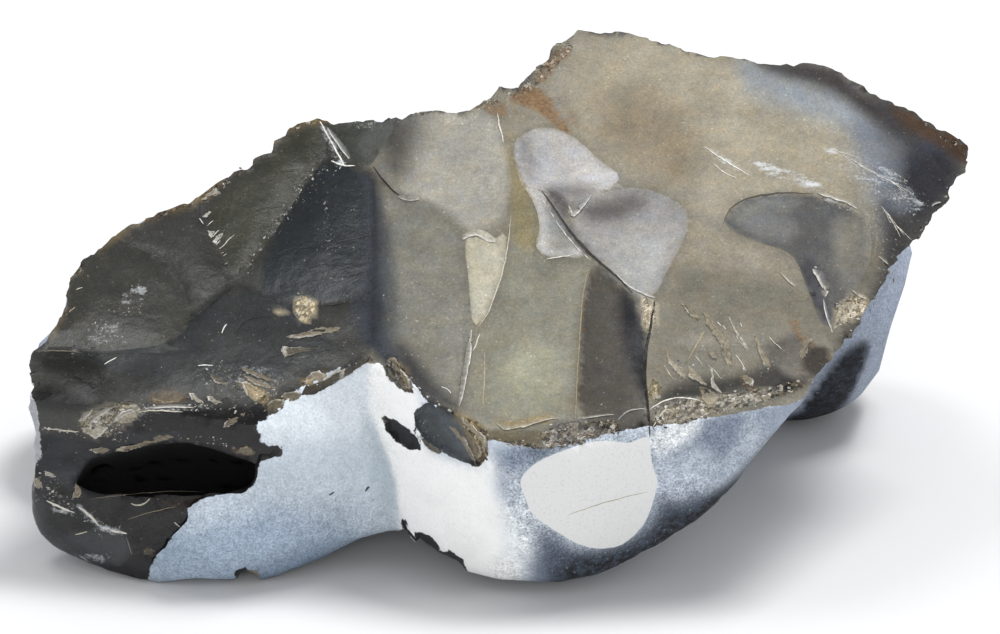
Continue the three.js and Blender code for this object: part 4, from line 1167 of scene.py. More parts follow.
# Plates of flint that a blow has lifted: tones of the body and of the torn rim, the way the rim faces
# in degrees, lift in mm, outline.
SHARDS = [
    (0.85, 0.9, -150, 0.2, (202,217, 208,211, 212,211, 207,217)),
    (0.85, 0.95, -150, 0.2, (207,230, 211,239, 213,236, 216,231, 210,231)),
    (0.85, 0.95, -150, 0.2, (212,242, 217,236, 221,233, 225,233, 220,239, 215,244)),
    (0.5, 0.9, -120, 0.25, (238,366, 246,368, 266,376, 275,381, 268,382, 246,373)),
    (0.55, 0.92, -120, 0.25, (240,374, 262,381, 272,386, 281,389, 270,389, 258,386, 247,380)),
    (0.4, 0.85, -120, 0.25, (208,374, 216,376, 224,381, 233,384, 226,386, 216,383)),
    (0.72, 0.85, 120, 0.2, (200,201, 210,192, 217,188, 221,193, 212,198)),
    (0.5, 0.8, 120, 0.2, (218,187, 236,173, 239,177, 223,191)),
    (0.62, 0.88, -95, 0.25, (285,337, 296,335, 309,330, 322,327, 343,327, 340,331, 322,334, 310,337,
        295,339)),
    (0.45, 0.86, 130, 0.3, (282,346, 288,348, 300,347, 322,348, 308,351, 296,354, 284,358, 281,351)),
    (0.52, 0.9, 140, 0.3, (240,382, 247,381, 256,388, 267,391, 264,399, 256,404, 247,396)),
    (0.3, 0.55, -100, 0.2, (149,398, 155,392, 165,389, 176,391, 187,398, 180,403, 165,404, 153,401)),
    (0.7, 0.9, 130, 0.2, (188,393, 193,394, 200,399, 205,404, 198,403, 191,399)),
    (0.7, 0.92, 130, 0.2, (206,396, 212,397, 224,403, 215,404, 208,401)),
    (0.55, 0.72, -110, 0.3, (113,452, 120,447, 135,445, 160,435, 170,434, 177,437, 166,440, 152,443,
        126,451)),
    (0.56, 0.85, 150, 0.3, (89,450, 97,448, 105,447, 112,450, 104,454, 95,453)),
    (0.5, 0.8, -120, 0.3, (222,428, 226,421, 233,418, 242,416, 239,421, 232,425)),
    (0.5, 0.6, 100, 0.3, (236,452, 241,447, 249,447, 256,452, 252,456, 243,455)),
    (0.6, 0.72, -90, 0.3, (76,483, 80,487, 82,493, 78,498, 72,498, 74,491)),
    (0.7, 0.8, 180, 0.2, (34,479, 38,477, 43,484, 43,489, 36,488)),
    (0.8, 0.9, 90, 0.2, (44,471, 50,472, 58,477, 54,478, 46,476)),
    (0.72, 0.95, -60, 0.3, (80,428, 100,424, 107,427, 103,434, 96,439, 82,432)),
    (0.66, 0.95, 120, 0.3, (113,420, 120,412, 130,408, 142,409, 138,417, 131,424, 122,424)),
    (0.7, 0.9, 120, 0.3, (77,421, 86,413, 93,409, 89,416, 85,421, 80,424)),
    (0.35, 0.5, 100, 0.2, (142,552, 149,548, 157,550, 154,555, 145,555)),
    (0.64, 0.85, 90, 0.3, (303,384, 306,377, 312,372, 320,371, 328,376, 323,380, 314,384)),
    (0.12, 0.8, 80, 0.3, (299,396, 303,387, 325,379, 338,370, 346,367, 346,377, 337,382, 326,389, 312,396)),
    (0.14, 0.5, -70, 0.3, (335,380, 339,369, 350,360, 362,355, 373,354, 369,361, 358,368, 347,377)),
    (0.5, 0.85, 90, 0.3, (280,398, 285,393, 296,391, 302,393, 300,399, 290,402)),
    (0.35, 0.72, 90, 0.3, (266,404, 274,399, 285,399, 284,408, 276,414, 268,417)),
    (0.6, 0.85, 20, 0.3, (387,356, 395,357, 399,365, 408,377, 412,387, 411,392, 402,378, 395,370, 388,364)),
    (0.1, 0.3, -90, 0.2, (385,366, 389,365, 395,374, 397,382, 391,382, 385,375)),
    (0.12, 0.8, 70, 0.25, (395,381, 404,383, 412,388, 414,394, 404,391, 396,386)),
    (0.6, 0.85, 20, 0.3, (448,425, 455,427, 466,440, 474,455, 477,467, 460,440)),
    (0.68, 0.85, 30, 0.3, (458,414, 466,419, 476,428, 486,436, 487,450, 478,437, 461,421)),
    (0.42, 0.7, 0, 0.3, (462,424, 470,432, 480,446, 483,455, 478,462, 474,450, 468,438)),
    (0.4, 0.8, -120, 0.3, (420,437, 430,443, 443,453, 437,454, 425,446)),
    (0.5, 0.92, -140, 0.3, (681,303, 686,304, 694,310, 701,318, 700,321, 692,317, 686,311)),
    (0.53, 0.9, -150, 0.35, (702,311, 706,310, 712,318, 722,333, 729,345, 732,355, 733,368, 728,367, 723,357,
        722,346, 705,322)),
    (0.75, 0.95, -150, 0.25, (727,312, 735,327, 750,351, 746,351, 739,341, 731,325)),
    (0.6, 0.95, -150, 0.3, (754,335, 758,338, 762,348, 772,367, 770,369, 763,364, 756,345)),
    (0.66, 0.82, -130, 0.3, (665,350, 668,358, 685,370, 687,377, 684,380, 676,372, 668,363)),
    (0.62, 0.85, -120, 0.3, (687,364, 692,366, 699,375, 708,385, 704,386, 696,380, 688,378)),
    (0.5, 0.62, -90, 0.3, (698,385, 706,387, 721,396, 716,403, 709,408, 702,400)),
    (0.53, 0.85, -60, 0.3, (740,375, 746,374, 754,380, 753,387, 746,384)),
    (0.5, 0.8, -130, 0.3, (708,352, 714,351, 720,357, 717,360, 711,357)),
    (0.8, 0.95, 180, 0.2, (710,366, 713,372, 713,386, 723,394, 720,394, 711,387, 711,376)),
    (0.5, 0.72, -20, 0.3, (802,340, 808,338, 815,338, 808,345, 807,353, 801,363, 798,354)),
    (0.74, 0.5, 150, 0.3, (832,332, 834,320, 838,306, 850,301, 866,303, 860,312, 846,323)),
    (0.8, 0.92, 180, 0.3, (734,330, 738,333, 747,345, 750,350, 744,346)),
    (0.4, 0.75, 60, 0.3, (490,577, 494,570, 503,568, 513,573, 511,579, 498,580)),
]
# White teeth beside one another along a line: from, to, count, length in mm, direction in degrees, tone.
COMBS = [
    ((880, 205), (905, 235), 9, 5, -50, 0.85),
    ((835, 150), (905, 190), 12, 6, -32, 0.9),
]
LEAST_SOFTNESS = 0.7  # no patch has an edge sharper than this, in mm
FLINT_BASE = linear("#8e897c")
# What the studio light adds to the flint as sheen, and how much of it the broken face and the rind catch.
SHEEN = 0.022
BREAK_LIGHT = 1.5
RIND_LIGHT = 1.12
RIND_REAR_LIGHT = 1.1
DARKEST = 0.004


def painted(u, v, base, patches):
    """Soft patches laid over a base value or colour."""
    values = np.array(np.broadcast_to(base, u.shape + np.shape(base)), float)
    for softness, tone, marks in patches:
        outline = softened(on_sheet(marks), closed=True)
        low = outline.min(0) - softness
        high = outline.max(0) + softness
        near = np.flatnonzero((u > low[0]) & (u < high[0]) & (v > low[1]) & (v < high[1]))
        gap = outline_distance(u[near], v[near], outline)
        share = ease(0.5 - gap / max(softness, LEAST_SOFTNESS))
        top = linear(tone) if isinstance(tone, str) else tone
        if values.ndim > 1:
            share = share[:, None]
        values[near] = values[near] * (1 - share) + top * share
    return values


def bare_tint(seen_tint):
    """The flint's own colour, from how it looks once the light's sheen lies over it."""
    return np.clip((seen_tint - SHEEN) / BREAK_LIGHT, DARKEST, 1)


def flint_tint(u, v):
    """The flint's own colour at points of the sheet, scars included."""
    return bare_tint(painted(u, v, FLINT_BASE, FLINT_PATCHES + SCAR_PATCHES))


def add_colours(data, name, colours):
    opaque = np.concatenate([colours, np.ones((len(colours), 1))], -1).astype(np.float32)
    data.attributes.new(name, "FLOAT_COLOR", "POINT").data.foreach_set("color", opaque.ravel())


def add_numbers(data, name, *columns):
    """Three numbers for each corner of the mesh."""
    numbers = np.stack(columns, -1).astype(np.float32)
    data.attributes.new(name, "FLOAT_VECTOR", "POINT").data.foreach_set("vector", numbers.ravel())


# Skin of the left end that is flint down to the floor, and how far flint wraps behind the top rim.
LEFT_SKIN = (-10,464, 38,464, 60,510, 150,540, 148,610, -10,610)
LEFT_RIND = (20,388, 30,391, 36,402, 40,425, 42,462, 36,464, 20,440)
LEFT_RIND_REACH = 1
RIM_WRAP = 1.5
RIM_WRAP_END = 14
RIM_LOWEST = -9
# Depths in mm behind the breaks where the paint of the front fades out and that of the rear lobe fades in.
FRONT_END = 17
REAR_START = 13
DEPTH_FADE = 4
# How far the paint goes on where the skin turns away from the eye, and over what turn it fades.
TURNED_AWAY = 0.25
SKIN_FADE = 0.2
FLINT_FADE = 0.3
EDGE_SPAN = 3.0  # gaps to the edges of scars, chips and chalk are kept up to this many mm
BREAK_OVERLAP = 0.2
CAVE_SHADOW = 0.3
# Ripples are weaker beyond the facets, and fade out at a facet's edge.
LOOSE_RIPPLE = 0.5
EDGE_FADE = 0.95
EDGE_FADE_WIDTH = 0.5
# Painted shade: a darker line along each facet's edge, in its crease, but for the one that ends in crushed
# flint.
LINE_WIDTH = 0.6
LINE_SHADE = 0.1
UNLINED_FACET = "low right"
# Thin flint is brown along the top left of the rim: width in mm, steps where it ends and over which it fades,
# how far below the sheet's middle it reaches in mm, and its strength and how much that varies.
BROWN_WIDTH = 1.1
BROWN_END = 380
BROWN_FADE = 60
BROWN_LOWEST = 8
BROWN_LEAST = 0.6
BROWN_SPREAD = 0.8
HIDDEN_FLINT = "#3f3e3c"
# Rind on the hidden sides: white and blue-grey clouds, darker towards the floor.
RIND_WHITE = "#dcdedd"
RIND_BLUE = "#98a3b1"
RIND_DARK = "#4a505a"
RIND_CLOUD = 22
LOW_DARK_FROM = 26
LOW_DARK_FADE = 30
LOW_DARK = 0.5
FRONT_RIND = "#b7c0ca"
REAR_RIND = "#9aa3b2"
# Values where no patch lies, in front and on the hidden sides.
FRONT_FROST, HIDDEN_FROST = 0.1, 0.15
FRONT_SPECKLE, HIDDEN_SPECKLE = 0.25, 0.5
FRONT_GLOSS, HIDDEN_GLOSS = 0.25, 0.3
CAVE_GLOSS = -2
HIDDEN_RUST = 0.6
RUST_CLOUD = 14
RUST_LIMIT = 0.55


def edge_gap(gap):
    return np.clip(gap, -EDGE_SPAN, EDGE_SPAN)


def soft_outline_gap(u, v, marks):
    return outline_distance(u, v, softened(on_sheet(marks), closed=True))


def paint_stone():
    u, v, d = to_sheet(points)
    skin = nodule_distance(points, u, v, d)
    main, left, cave, hidden = cuts(points, u, v, d)
    facing = unit(stone_slope(points, stone_distance(points)))
    seen = (facing * unit(EYE - points)).sum(-1)
    behind = d - np.maximum(main_break_depth(u, v), wall_depth(u, v))
    turned = ease((seen + TURNED_AWAY) / SKIN_FADE)
    shown = ease((seen + TURNED_AWAY) / FLINT_FADE)
    front = turned * ease((FRONT_END - behind) / DEPTH_FADE)
    rear = turned * ease((behind - REAR_START) / DEPTH_FADE)

    # Gaps to where flint gives way to rind, and rind to chalk.
    edge = edge_gap(np.maximum.reduce([main, left, cave, hidden]) - skin)
    for marks in [chip for _, chip in RIND_CHIPS.values()] + [LEFT_SKIN]:
        gap = outline_distance(u, v, on_sheet(marks))
        edge = np.where(front > 0.5, np.maximum(edge, edge_gap(-gap)), edge)
    rim_gap = read_map(front_edge_map, u, v)
    wrapped = np.minimum.reduce([rim_gap + RIM_WRAP, v - RIM_LOWEST, RIM_WRAP_END - behind])
    edge = np.maximum(edge, edge_gap(wrapped))
    rind_gap = soft_outline_gap(u, v, LEFT_RIND)
    edge = np.where(rind_gap < LEFT_RIND_REACH, np.minimum(edge, rind_gap), edge)
    chalk = np.full(len(u), -EDGE_SPAN)
    for marks in CHALK_PATCHES:
        gap = soft_outline_gap(u, v, marks)
        chalk = np.where(front > 0.5, np.maximum(chalk, edge_gap(-gap)), chalk)

    # The flint's tone, with the ripples that spread from each blow.
    flint_front = painted(u, v, FLINT_BASE, FLINT_PATCHES)
    struck = on_sheet(MAIN_BLOW)[0]
    ripple = np.hypot(u - struck[0], v - struck[1])
    strength = np.full(len(u), LOOSE_RIPPLE)
    for name, (_, blow, marks) in FACETS.items():
        gap = soft_outline_gap(u, v, marks)
        struck = on_sheet(blow)[0]
        ripple = np.where(gap < 0, np.hypot(u - struck[0], v - struck[1]), ripple)
        calm = 1 - EDGE_FADE * np.exp(-((gap / EDGE_FADE_WIDTH) ** 2))
        strength = np.where(gap < 0, 1, strength) * calm
        # Painted shade along the facet's edge, where its crease lies.
        if name != UNLINED_FACET:
            flint_front = flint_front * (1 - LINE_SHADE * np.exp(-((gap / LINE_WIDTH) ** 2)))[:, None]
    brown_rim = np.exp(-((rim_gap / BROWN_WIDTH) ** 2))
    brown_rim = brown_rim * ease((BROWN_END - (u * STEPS_PER_MM + SHEET_MIDDLE[0])) / BROWN_FADE)
    brown_rim = brown_rim * ease((v + BROWN_LOWEST) / BROWN_LOWEST)
    brown_rim = clamp01(brown_rim * (BROWN_LEAST + BROWN_SPREAD * noise((u, v), 2.5, 95)))
    flint = bare_tint(flint_front) * shown[:, None] + linear(HIDDEN_FLINT) * (1 - shown[:, None])
    scar = np.full(len(u), -EDGE_SPAN)
    for name in SHARP_SCARS:
        scar = np.maximum(scar, edge_gap(-soft_outline_gap(u, v, FACETS[name][2])))
    scar = np.where(main > left - BREAK_OVERLAP, scar, -EDGE_SPAN)
    for marks in LEFT_SCARS.values():
        scar = np.maximum(scar, edge_gap(-outline_distance(u, v, on_sheet(marks))))
    scar = np.where(shown > 0.5, scar, -EDGE_SPAN)
    in_cave = ease((cave + CAVE_SHADOW) / CAVE_SHADOW)
    in_cave = in_cave * (cave > main - BREAK_OVERLAP) * (cave > left - BREAK_OVERLAP)

    # The rind's tone, with painted shade in the front patches where the rind turns under towards the floor.
    shade = ease(0.5 + 0.6 * cloud(points.T, RIND_CLOUD, 3, 61))[:, None]
    low_dark = ease((LOW_DARK_FROM - points[:, 2]) / LOW_DARK_FADE)[:, None]
    rind_hidden = (linear(RIND_WHITE) * shade + linear(RIND_BLUE) * (1 - shade)) / RIND_REAR_LIGHT
    rind_hidden = rind_hidden * (1 - LOW_DARK * low_dark) + linear(RIND_DARK) * LOW_DARK * low_dark
    rind_front = painted(u, v, linear(FRONT_RIND), RIND_PATCHES) / RIND_LIGHT
    rind_rear = painted(u, v, linear(REAR_RIND), REAR_PATCHES) / RIND_LIGHT
    rind = rind_hidden * (1 - front - rear)[:, None] + rind_front * front[:, None] + rind_rear * rear[:, None]

    rust = painted(u, v, 0.0, RUST_PATCHES) * front
    rust_clouds = ease((cloud(points.T, RUST_CLOUD, 2, 71) - RUST_LIMIT) / 0.3)
    rust = np.maximum(rust, (1 - front) * rust_clouds * HIDDEN_RUST)
    frost_and_glint = painted(u, v, FRONT_FROST, FROST_AND_GLINT_PATCHES) * front + HIDDEN_FROST * (1 - front)
    speckle = painted(u, v, FRONT_SPECKLE, SPECKLE_PATCHES) * front + HIDDEN_SPECKLE * (1 - front)
    crumb = painted(u, v, 0.0, CRUMB_PATCHES) * shown
    gloss = painted(u, v, FRONT_GLOSS, FLINT_GLOSS) * front + HIDDEN_GLOSS * (1 - front)
    gloss = gloss * (1 - in_cave) + CAVE_GLOSS * in_cave
    add_colours(stone_data, "flint_tone", flint)
    add_colours(stone_data, "scar_tone", flint_tint(u, v))
    add_colours(stone_data, "rind_tone", clamp01(rind))
    add_numbers(stone_data, "marks", edge, chalk, rust)
    # The third number, how far the point lies inside the cave, is what the finish darkens as painted shade.
    add_numbers(stone_data, "scar", scar, brown_rim, edge_gap(cave - np.maximum(main, left)))
    # The frost in these numbers includes painted highlight where facets catch the light.
    add_numbers(stone_data, "frost_glint_speckle_gloss", frost_and_glint, speckle, gloss)
    add_numbers(stone_data, "blow", ripple, strength, crumb)


paint_stone()


# ---------- the finish: glossy broken flint under a dull chalk rind ----------
def add(tree, kind, inputs=(), out=0, **settings):
    """Adds a node with its settings, and its inputs as links or values: a list in the order of its sockets,
    or a dictionary by socket. Returns one of its outputs."""
    node = tree.nodes.new("ShaderNode" + kind)
    for name, value in settings.items():
        setattr(node, name, value)
    for key, value in inputs.items() if isinstance(inputs, dict) else enumerate(inputs):
        if isinstance(value, bpy.types.NodeSocket):
            tree.links.new(value, node.inputs[key])
        else:
            node.inputs[key].default_value = value
    return node.outputs[out]


def colour(hex_colour):
    return (*linear(hex_colour), 1)


def per_mm(size):
    """The noise scale whose lumps are `size` mm across."""
    return 1 / (size * MM)


# A Mix node that blends colours has them in these two sockets and its result in output 2.
FROM = 6
TO = 7
COLOUR_MIX = {"out": 2, "data_type": "RGBA"}
MULTIPLY = {"operation": "MULTIPLY"}
MULTIPLY_ADD = {"operation": "MULTIPLY_ADD"}
SCALE = {"operation": "SCALE"}
# A MapRange node takes a value, the span it comes in and the span it goes to, which is 0 to 1 if left out.
NOISE_SPAN = (0.3, 0.7)  # nearly all of a noise lies between these

# Sizes in mm of what the finish shows. Flint's own grain is far finer than light shows, so GRAIN is drawn
# coarser.
CLOUDS = 6
MOTTLE = 1.3
GRAIN = 0.36
FLECK = 0.5
CRUMB_GRAIN = 0.55
RIPPLE_LENGTH = 2.1
FINE_RIPPLE_LENGTH = 0.75
VEINS = 2.8
DOT_PITCH = 0.55
SUGAR = 0.34
DABS = 4.5
WANDER = 1.6  # how far clouds in the flint bend the ripples, in mm
SHAKE = 0.9 * MM  # how far crushed grains lie out of place
# Relief in mm.
RIPPLE_RELIEF = 0.005
MOTTLE_RELIEF = 0.07
GRAIN_RELIEF = 0.03
VEIN_RELIEF = 0.14
CRUSHED_RELIEF = 0.3
CHALK_RELIEF = 0.12
CHALK_GRAIN_RELIEF = 0.05
# Colours laid over the painted tones.
THIN_FLINT = "#5c4f37"
PALE_FLECK = "#a3a19a"
BRUISE_AND_GLINT_WHITE = "#b4b8ba"
RUST = "#4e3421"
HONEY = "#87653c"
CRUSHED_TAN = "#6f5f42"
CRUSHED_WHITE = "#b9b5a9"
THIN_RIND = "#4e5b6b"
RIND_SPECK = "#434e5c"
CHALK_MOTE = "#b4bac2"
RAW_CHALK = "#cfcfcd"
SPECKED_CHALK = "#b4b7bc"
CAVE_SHADE_SHARE = 0.05  # painted shade: the share of the flint's tone that the cave keeps
FLINT_IOR = 1.54
DULL_FLINT = 1.0
GLOSSY_FLINT = 0.3
BRUISE_ROUGHNESS = 0.3
CRUSHED_ROUGHNESS = 0.25
CHALK_ROUGHNESS = 0.92
COOL = (0.97, 0.985, 1.01, 1)
WARM = (1.05, 1.01, 0.93, 1)
FROST_LIE = (0.0, math.radians(32), 0.0)
FROST_STRETCH = (1, 3.2, 3.2)


def flint_and_rind():
    """Flint, broken by blows, with the chalk rind it grew in. Broken flint is glassy silica: satin to glossy,
    rippled away from each blow, cloudy where it is thick, white where it is bruised, crushed to crumbs along
    its edges. Its white also stands in as painted highlight where facets and grains catch the light, and
    painted shade makes the cave near black. The rind is soft chalk, dull and white where it is thick,
    blue-grey and specked where the flint shows through."""
    finish = bpy.data.materials.new("struck_flint_and_chalk_rind")
    finish.use_nodes = True
    tree = finish.node_tree
    shader = tree.nodes["Principled BSDF"]
    place = add(tree, "TexCoord", out="Object")
    flint = add(tree, "Attribute", attribute_name="flint_tone", out="Color")
    scar_tone = add(tree, "Attribute", attribute_name="scar_tone", out="Color")
    rind = add(tree, "Attribute", attribute_name="rind_tone", out="Color")
    numbers = []
    for name in ("scar", "marks", "frost_glint_speckle_gloss", "blow"):
        three = add(tree, "Attribute", attribute_name=name, out="Vector")
        numbers += add(tree, "SeparateXYZ", [three]).node.outputs
    scar, brown, cave, edge, chalk, rust, frost_and_glint, speckle, gloss, ripple, struck, crumb = numbers

    clouds = add(tree, "TexNoise", {"Vector": place, "Scale": per_mm(CLOUDS), "Detail": 4})
    mottle = add(tree, "TexNoise", {"Vector": place, "Scale": per_mm(MOTTLE), "Detail": 4, "Roughness": 0.6})
    grain = add(tree, "TexNoise", {"Vector": place, "Scale": per_mm(GRAIN), "Detail": 2, "Roughness": 0.6})
    fleck = add(tree, "TexNoise", {
        "Vector": place, "Scale": per_mm(FLECK), "Detail": 2.5, "Roughness": 0.65, "Distortion": 0.4
    })

    # Ripples spread from each blow like waves on water.
    wander = add(tree, "Math", [clouds, WANDER], **MULTIPLY)
    spread = add(tree, "Math", [ripple, wander])
    turns = add(tree, "Math", [spread, math.tau / RIPPLE_LENGTH], **MULTIPLY)
    wave = add(tree, "Math", [turns], operation="SINE")
    fine_turns = add(tree, "Math", [spread, math.tau / FINE_RIPPLE_LENGTH], **MULTIPLY)
    fine_wave = add(tree, "Math", [fine_turns], operation="SINE")
    some = add(tree, "MapRange", [clouds, 0.5, 0.65])
    fine_wave = add(tree, "Math", [fine_wave, some], **MULTIPLY)
    waves = add(tree, "Math", [fine_wave, 0.25, wave], **MULTIPLY_ADD)
    waves = add(tree, "Math", [waves, struck], **MULTIPLY)

    # Cloudiness, mottle and grain make the flint's own tone lighter and darker.
    cloudy = add(tree, "MapRange", [clouds, *NOISE_SPAN, 0.84, 1.14])
    mottled = add(tree, "MapRange", [mottle, *NOISE_SPAN, 0.9, 1.1])
    grained = add(tree, "MapRange", [grain, *NOISE_SPAN, 0.84, 1.18])
    rippled = add(tree, "Math", [waves, 0.012, 1.0], **MULTIPLY_ADD)
    tone = add(tree, "Math", [cloudy, mottled], **MULTIPLY)
    tone = add(tree, "Math", [tone, grained], **MULTIPLY)
    tone = add(tree, "Math", [tone, rippled], **MULTIPLY)
    wander = add(tree, "MapRange", [mottle, 0, 1, -0.15, 0.15])
    scar_edge = add(tree, "Math", [scar, wander])
    in_scar = add(tree, "MapRange", [scar_edge, -0.08, 0.08])
    flint = add(tree, "Mix", {0: in_scar, FROM: flint, TO: scar_tone}, **COLOUR_MIX)
    thin = add(tree, "Math", [brown, wander])
    thin = add(tree, "MapRange", [thin, 0.1, 0.9])
    flint = add(tree, "Mix", {0: thin, FROM: flint, TO: colour(THIN_FLINT)}, **COLOUR_MIX)
    flint = add(tree, "VectorMath", {0: flint, "Scale": tone}, **SCALE)
    veins = add(tree, "TexNoise", {"Vector": place, "Scale": per_mm(VEINS), "Detail": 4, "Distortion": 0.6})
    veined = add(tree, "MapRange", [veins, 0.36, 0.64])
    hue = add(tree, "Mix", {0: veined, FROM: COOL, TO: WARM}, **COLOUR_MIX)
    flint = add(tree, "VectorMath", [flint, hue], **MULTIPLY)

    # Grains of the flint, each a dot, mostly lighter than the flint around them: painted glints of grains
    # that catch the light.
    dot_pitch = {"Vector": place, "Scale": per_mm(DOT_PITCH)}
    dots = add(tree, "TexVoronoi", dot_pitch, out="Distance")
    dot_tones = add(tree, "TexVoronoi", dot_pitch, out="Color")
    dot_share, dot_size, _ = add(tree, "SeparateXYZ", [dot_tones]).node.outputs
    dot_reach = add(tree, "MapRange", [dot_size, 0.35, 1, 0, 0.42])
    dotted = add(tree, "Math", [dot_reach, dots], operation="SUBTRACT")
    dotted = add(tree, "MapRange", [dotted, 0, 0.12, 0, 0.42])
    dot_tint = add(tree, "MapRange", [dot_share, 0, 1, 0.75, 2.0])
    dot_tint = add(tree, "VectorMath", {0: flint, "Scale": dot_tint}, **SCALE)
    flint = add(tree, "Mix", {0: dotted, FROM: flint, TO: dot_tint}, **COLOUR_MIX)

    # Pale flecks, sparse on clean flint and closer where it is bruised and where a glint is painted.
    crowd = add(tree, "Math", [veins, -0.12, 0.06], **MULTIPLY_ADD)
    fleck_limit = add(tree, "MapRange", [frost_and_glint, 0, 1, 0.7, 0.53])
    fleck_limit = add(tree, "Math", [fleck_limit, crowd])
    flecked = add(tree, "Math", [fleck, fleck_limit], operation="SUBTRACT")
    flecked = add(tree, "MapRange", [flecked, 0, 0.08, 0, 0.55])
    flint = add(tree, "Mix", {0: flecked, FROM: flint, TO: colour(PALE_FLECK)}, **COLOUR_MIX)

    # Bruises: white dabs drawn out in the direction of the blow, grainy at their edges. Where the frost
    # patches mark a glint, the same white is a painted highlight.
    laid = add(tree, "Mapping", {"Vector": place, "Rotation": FROST_LIE, "Scale": FROST_STRETCH})
    dab = add(tree, "TexNoise", {"Vector": laid, "Scale": per_mm(DABS), "Detail": 5, "Roughness": 0.62})
    dab = add(tree, "Math", [dab, 1.5, -0.75], **MULTIPLY_ADD)
    dab = add(tree, "Math", [grain, 0.5, dab], **MULTIPLY_ADD)
    bruise_and_glint = add(tree, "Math", [frost_and_glint, 0.85, dab], **MULTIPLY_ADD)
    bruise_and_glint = add(tree, "MapRange", [bruise_and_glint, 0.78, 1.3, 0, 0.85], interpolation_type="SMOOTHSTEP")
    flint = add(tree, "Mix", {0: bruise_and_glint, FROM: flint, TO: colour(BRUISE_AND_GLINT_WHITE)}, **COLOUR_MIX)

    # Iron stain: dark rust in the cracks, honey brown around it.
    stain = add(tree, "Math", [mottle, 1.2, -0.6], **MULTIPLY_ADD)
    stain = add(tree, "Math", [stain, rust])
    stain = add(tree, "MapRange", [stain, 0.25, 1.0, 0, 0.75])
    stain_tone = add(tree, "MapRange", [fleck, 0.35, 0.68])
    iron = add(tree, "Mix", {0: stain_tone, FROM: colour(RUST), TO: colour(HONEY)}, **COLOUR_MIX)
    flint = add(tree, "Mix", {0: stain, FROM: flint, TO: iron}, **COLOUR_MIX)

    # Crushed edges: angular grains, each a little darker, lighter or browner than the flint it broke from.
    shaken = add(tree, "Math", [grain, SHAKE], **MULTIPLY)
    shaken = add(tree, "VectorMath", [place, shaken])
    cell_size = {"Vector": shaken, "Scale": per_mm(CRUMB_GRAIN)}
    cells = add(tree, "TexVoronoi", cell_size, out="Color")
    cell_gap = add(tree, "TexVoronoi", cell_size, out="Distance", feature="DISTANCE_TO_EDGE")
    cell_tone, cell_tint, cell_keep = add(tree, "SeparateXYZ", [cells]).node.outputs
    crushed = add(tree, "MapRange", [cell_tone, 0, 1, 0.2, 1.7])
    cracked = add(tree, "MapRange", [cell_gap, 0, 0.12, 0.35, 1])
    crushed = add(tree, "Math", [crushed, cracked], **MULTIPLY)
    grains = add(tree, "VectorMath", {0: flint, "Scale": crushed}, **SCALE)
    tanned = add(tree, "MapRange", [cell_tint, 0.55, 0.85, 0, 0.4])
    grains = add(tree, "Mix", {0: tanned, FROM: grains, TO: colour(CRUSHED_TAN)}, **COLOUR_MIX)
    white = add(tree, "MapRange", [cell_keep, 0.84, 0.9, 0, 0.45])
    grains = add(tree, "Mix", {0: white, FROM: grains, TO: colour(CRUSHED_WHITE)}, **COLOUR_MIX)
    torn = add(tree, "Math", [mottle, 1.4, -0.7], **MULTIPLY_ADD)
    torn = add(tree, "Math", [torn, crumb])
    torn = add(tree, "MapRange", [torn, 0.38, 0.55])
    flint = add(tree, "Mix", {0: torn, FROM: flint, TO: grains}, **COLOUR_MIX)

    # Painted shade: the cave's flint is darkened to near black, as the shade inside it.
    deep = add(tree, "Math", [cave, wander])
    deep = add(tree, "MapRange", [deep, -0.1, 0.3, 1, CAVE_SHADE_SHARE])
    flint = add(tree, "VectorMath", {0: flint, "Scale": deep}, **SCALE)

    # Rind: faint clouds, fine dark specks where it is thin, and white chalk specks on its darkest parts.
    clouded = add(tree, "MapRange", [clouds, *NOISE_SPAN, 0.95, 1.04])
    rind = add(tree, "VectorMath", {0: rind, "Scale": clouded}, **SCALE)
    thin = add(tree, "MapRange", [mottle, 0.42, 0.68, 0, 0.55])
    thin = add(tree, "Math", [thin, speckle], **MULTIPLY)
    rind = add(tree, "Mix", {0: thin, FROM: rind, TO: colour(THIN_RIND)}, **COLOUR_MIX)
    sugar = add(tree, "TexNoise", {"Vector": place, "Scale": per_mm(SUGAR), "Detail": 3, "Roughness": 0.7})
    sugar = add(tree, "Math", [sugar, 0.5], operation="SUBTRACT")
    sugar = add(tree, "Math", [sugar, speckle], **MULTIPLY)
    sugar = add(tree, "Math", [sugar, 3.2, 1.0], **MULTIPLY_ADD)
    sugar = add(tree, "Math", [sugar, 0.3], operation="MAXIMUM")
    rind = add(tree, "VectorMath", {0: rind, "Scale": sugar}, **SCALE)
    specks = add(tree, "MapRange", [grain, 0.56, 0.7, 0, 0.5])
    speck_share = add(tree, "Math", [speckle, 0.12])
    specks = add(tree, "Math", [specks, speck_share], **MULTIPLY)
    rind = add(tree, "Mix", {0: specks, FROM: rind, TO: colour(RIND_SPECK)}, **COLOUR_MIX)
    motes = add(tree, "MapRange", [fleck, 0.64, 0.72, 0, 0.5])
    motes = add(tree, "Math", [motes, speckle], **MULTIPLY)
    rind = add(tree, "Mix", {0: motes, FROM: rind, TO: colour(CHALK_MOTE)}, **COLOUR_MIX)
    frayed = add(tree, "MapRange", [mottle, 0, 1, -0.16, 0.16])
    frayed = add(tree, "Math", [chalk, frayed])
    frayed = add(tree, "MapRange", [frayed, -0.06, 0.06])
    raw = add(tree, "Mix", {0: specks, FROM: colour(RAW_CHALK), TO: colour(SPECKED_CHALK)}, **COLOUR_MIX)
    rind = add(tree, "Mix", {0: frayed, FROM: rind, TO: raw}, **COLOUR_MIX)

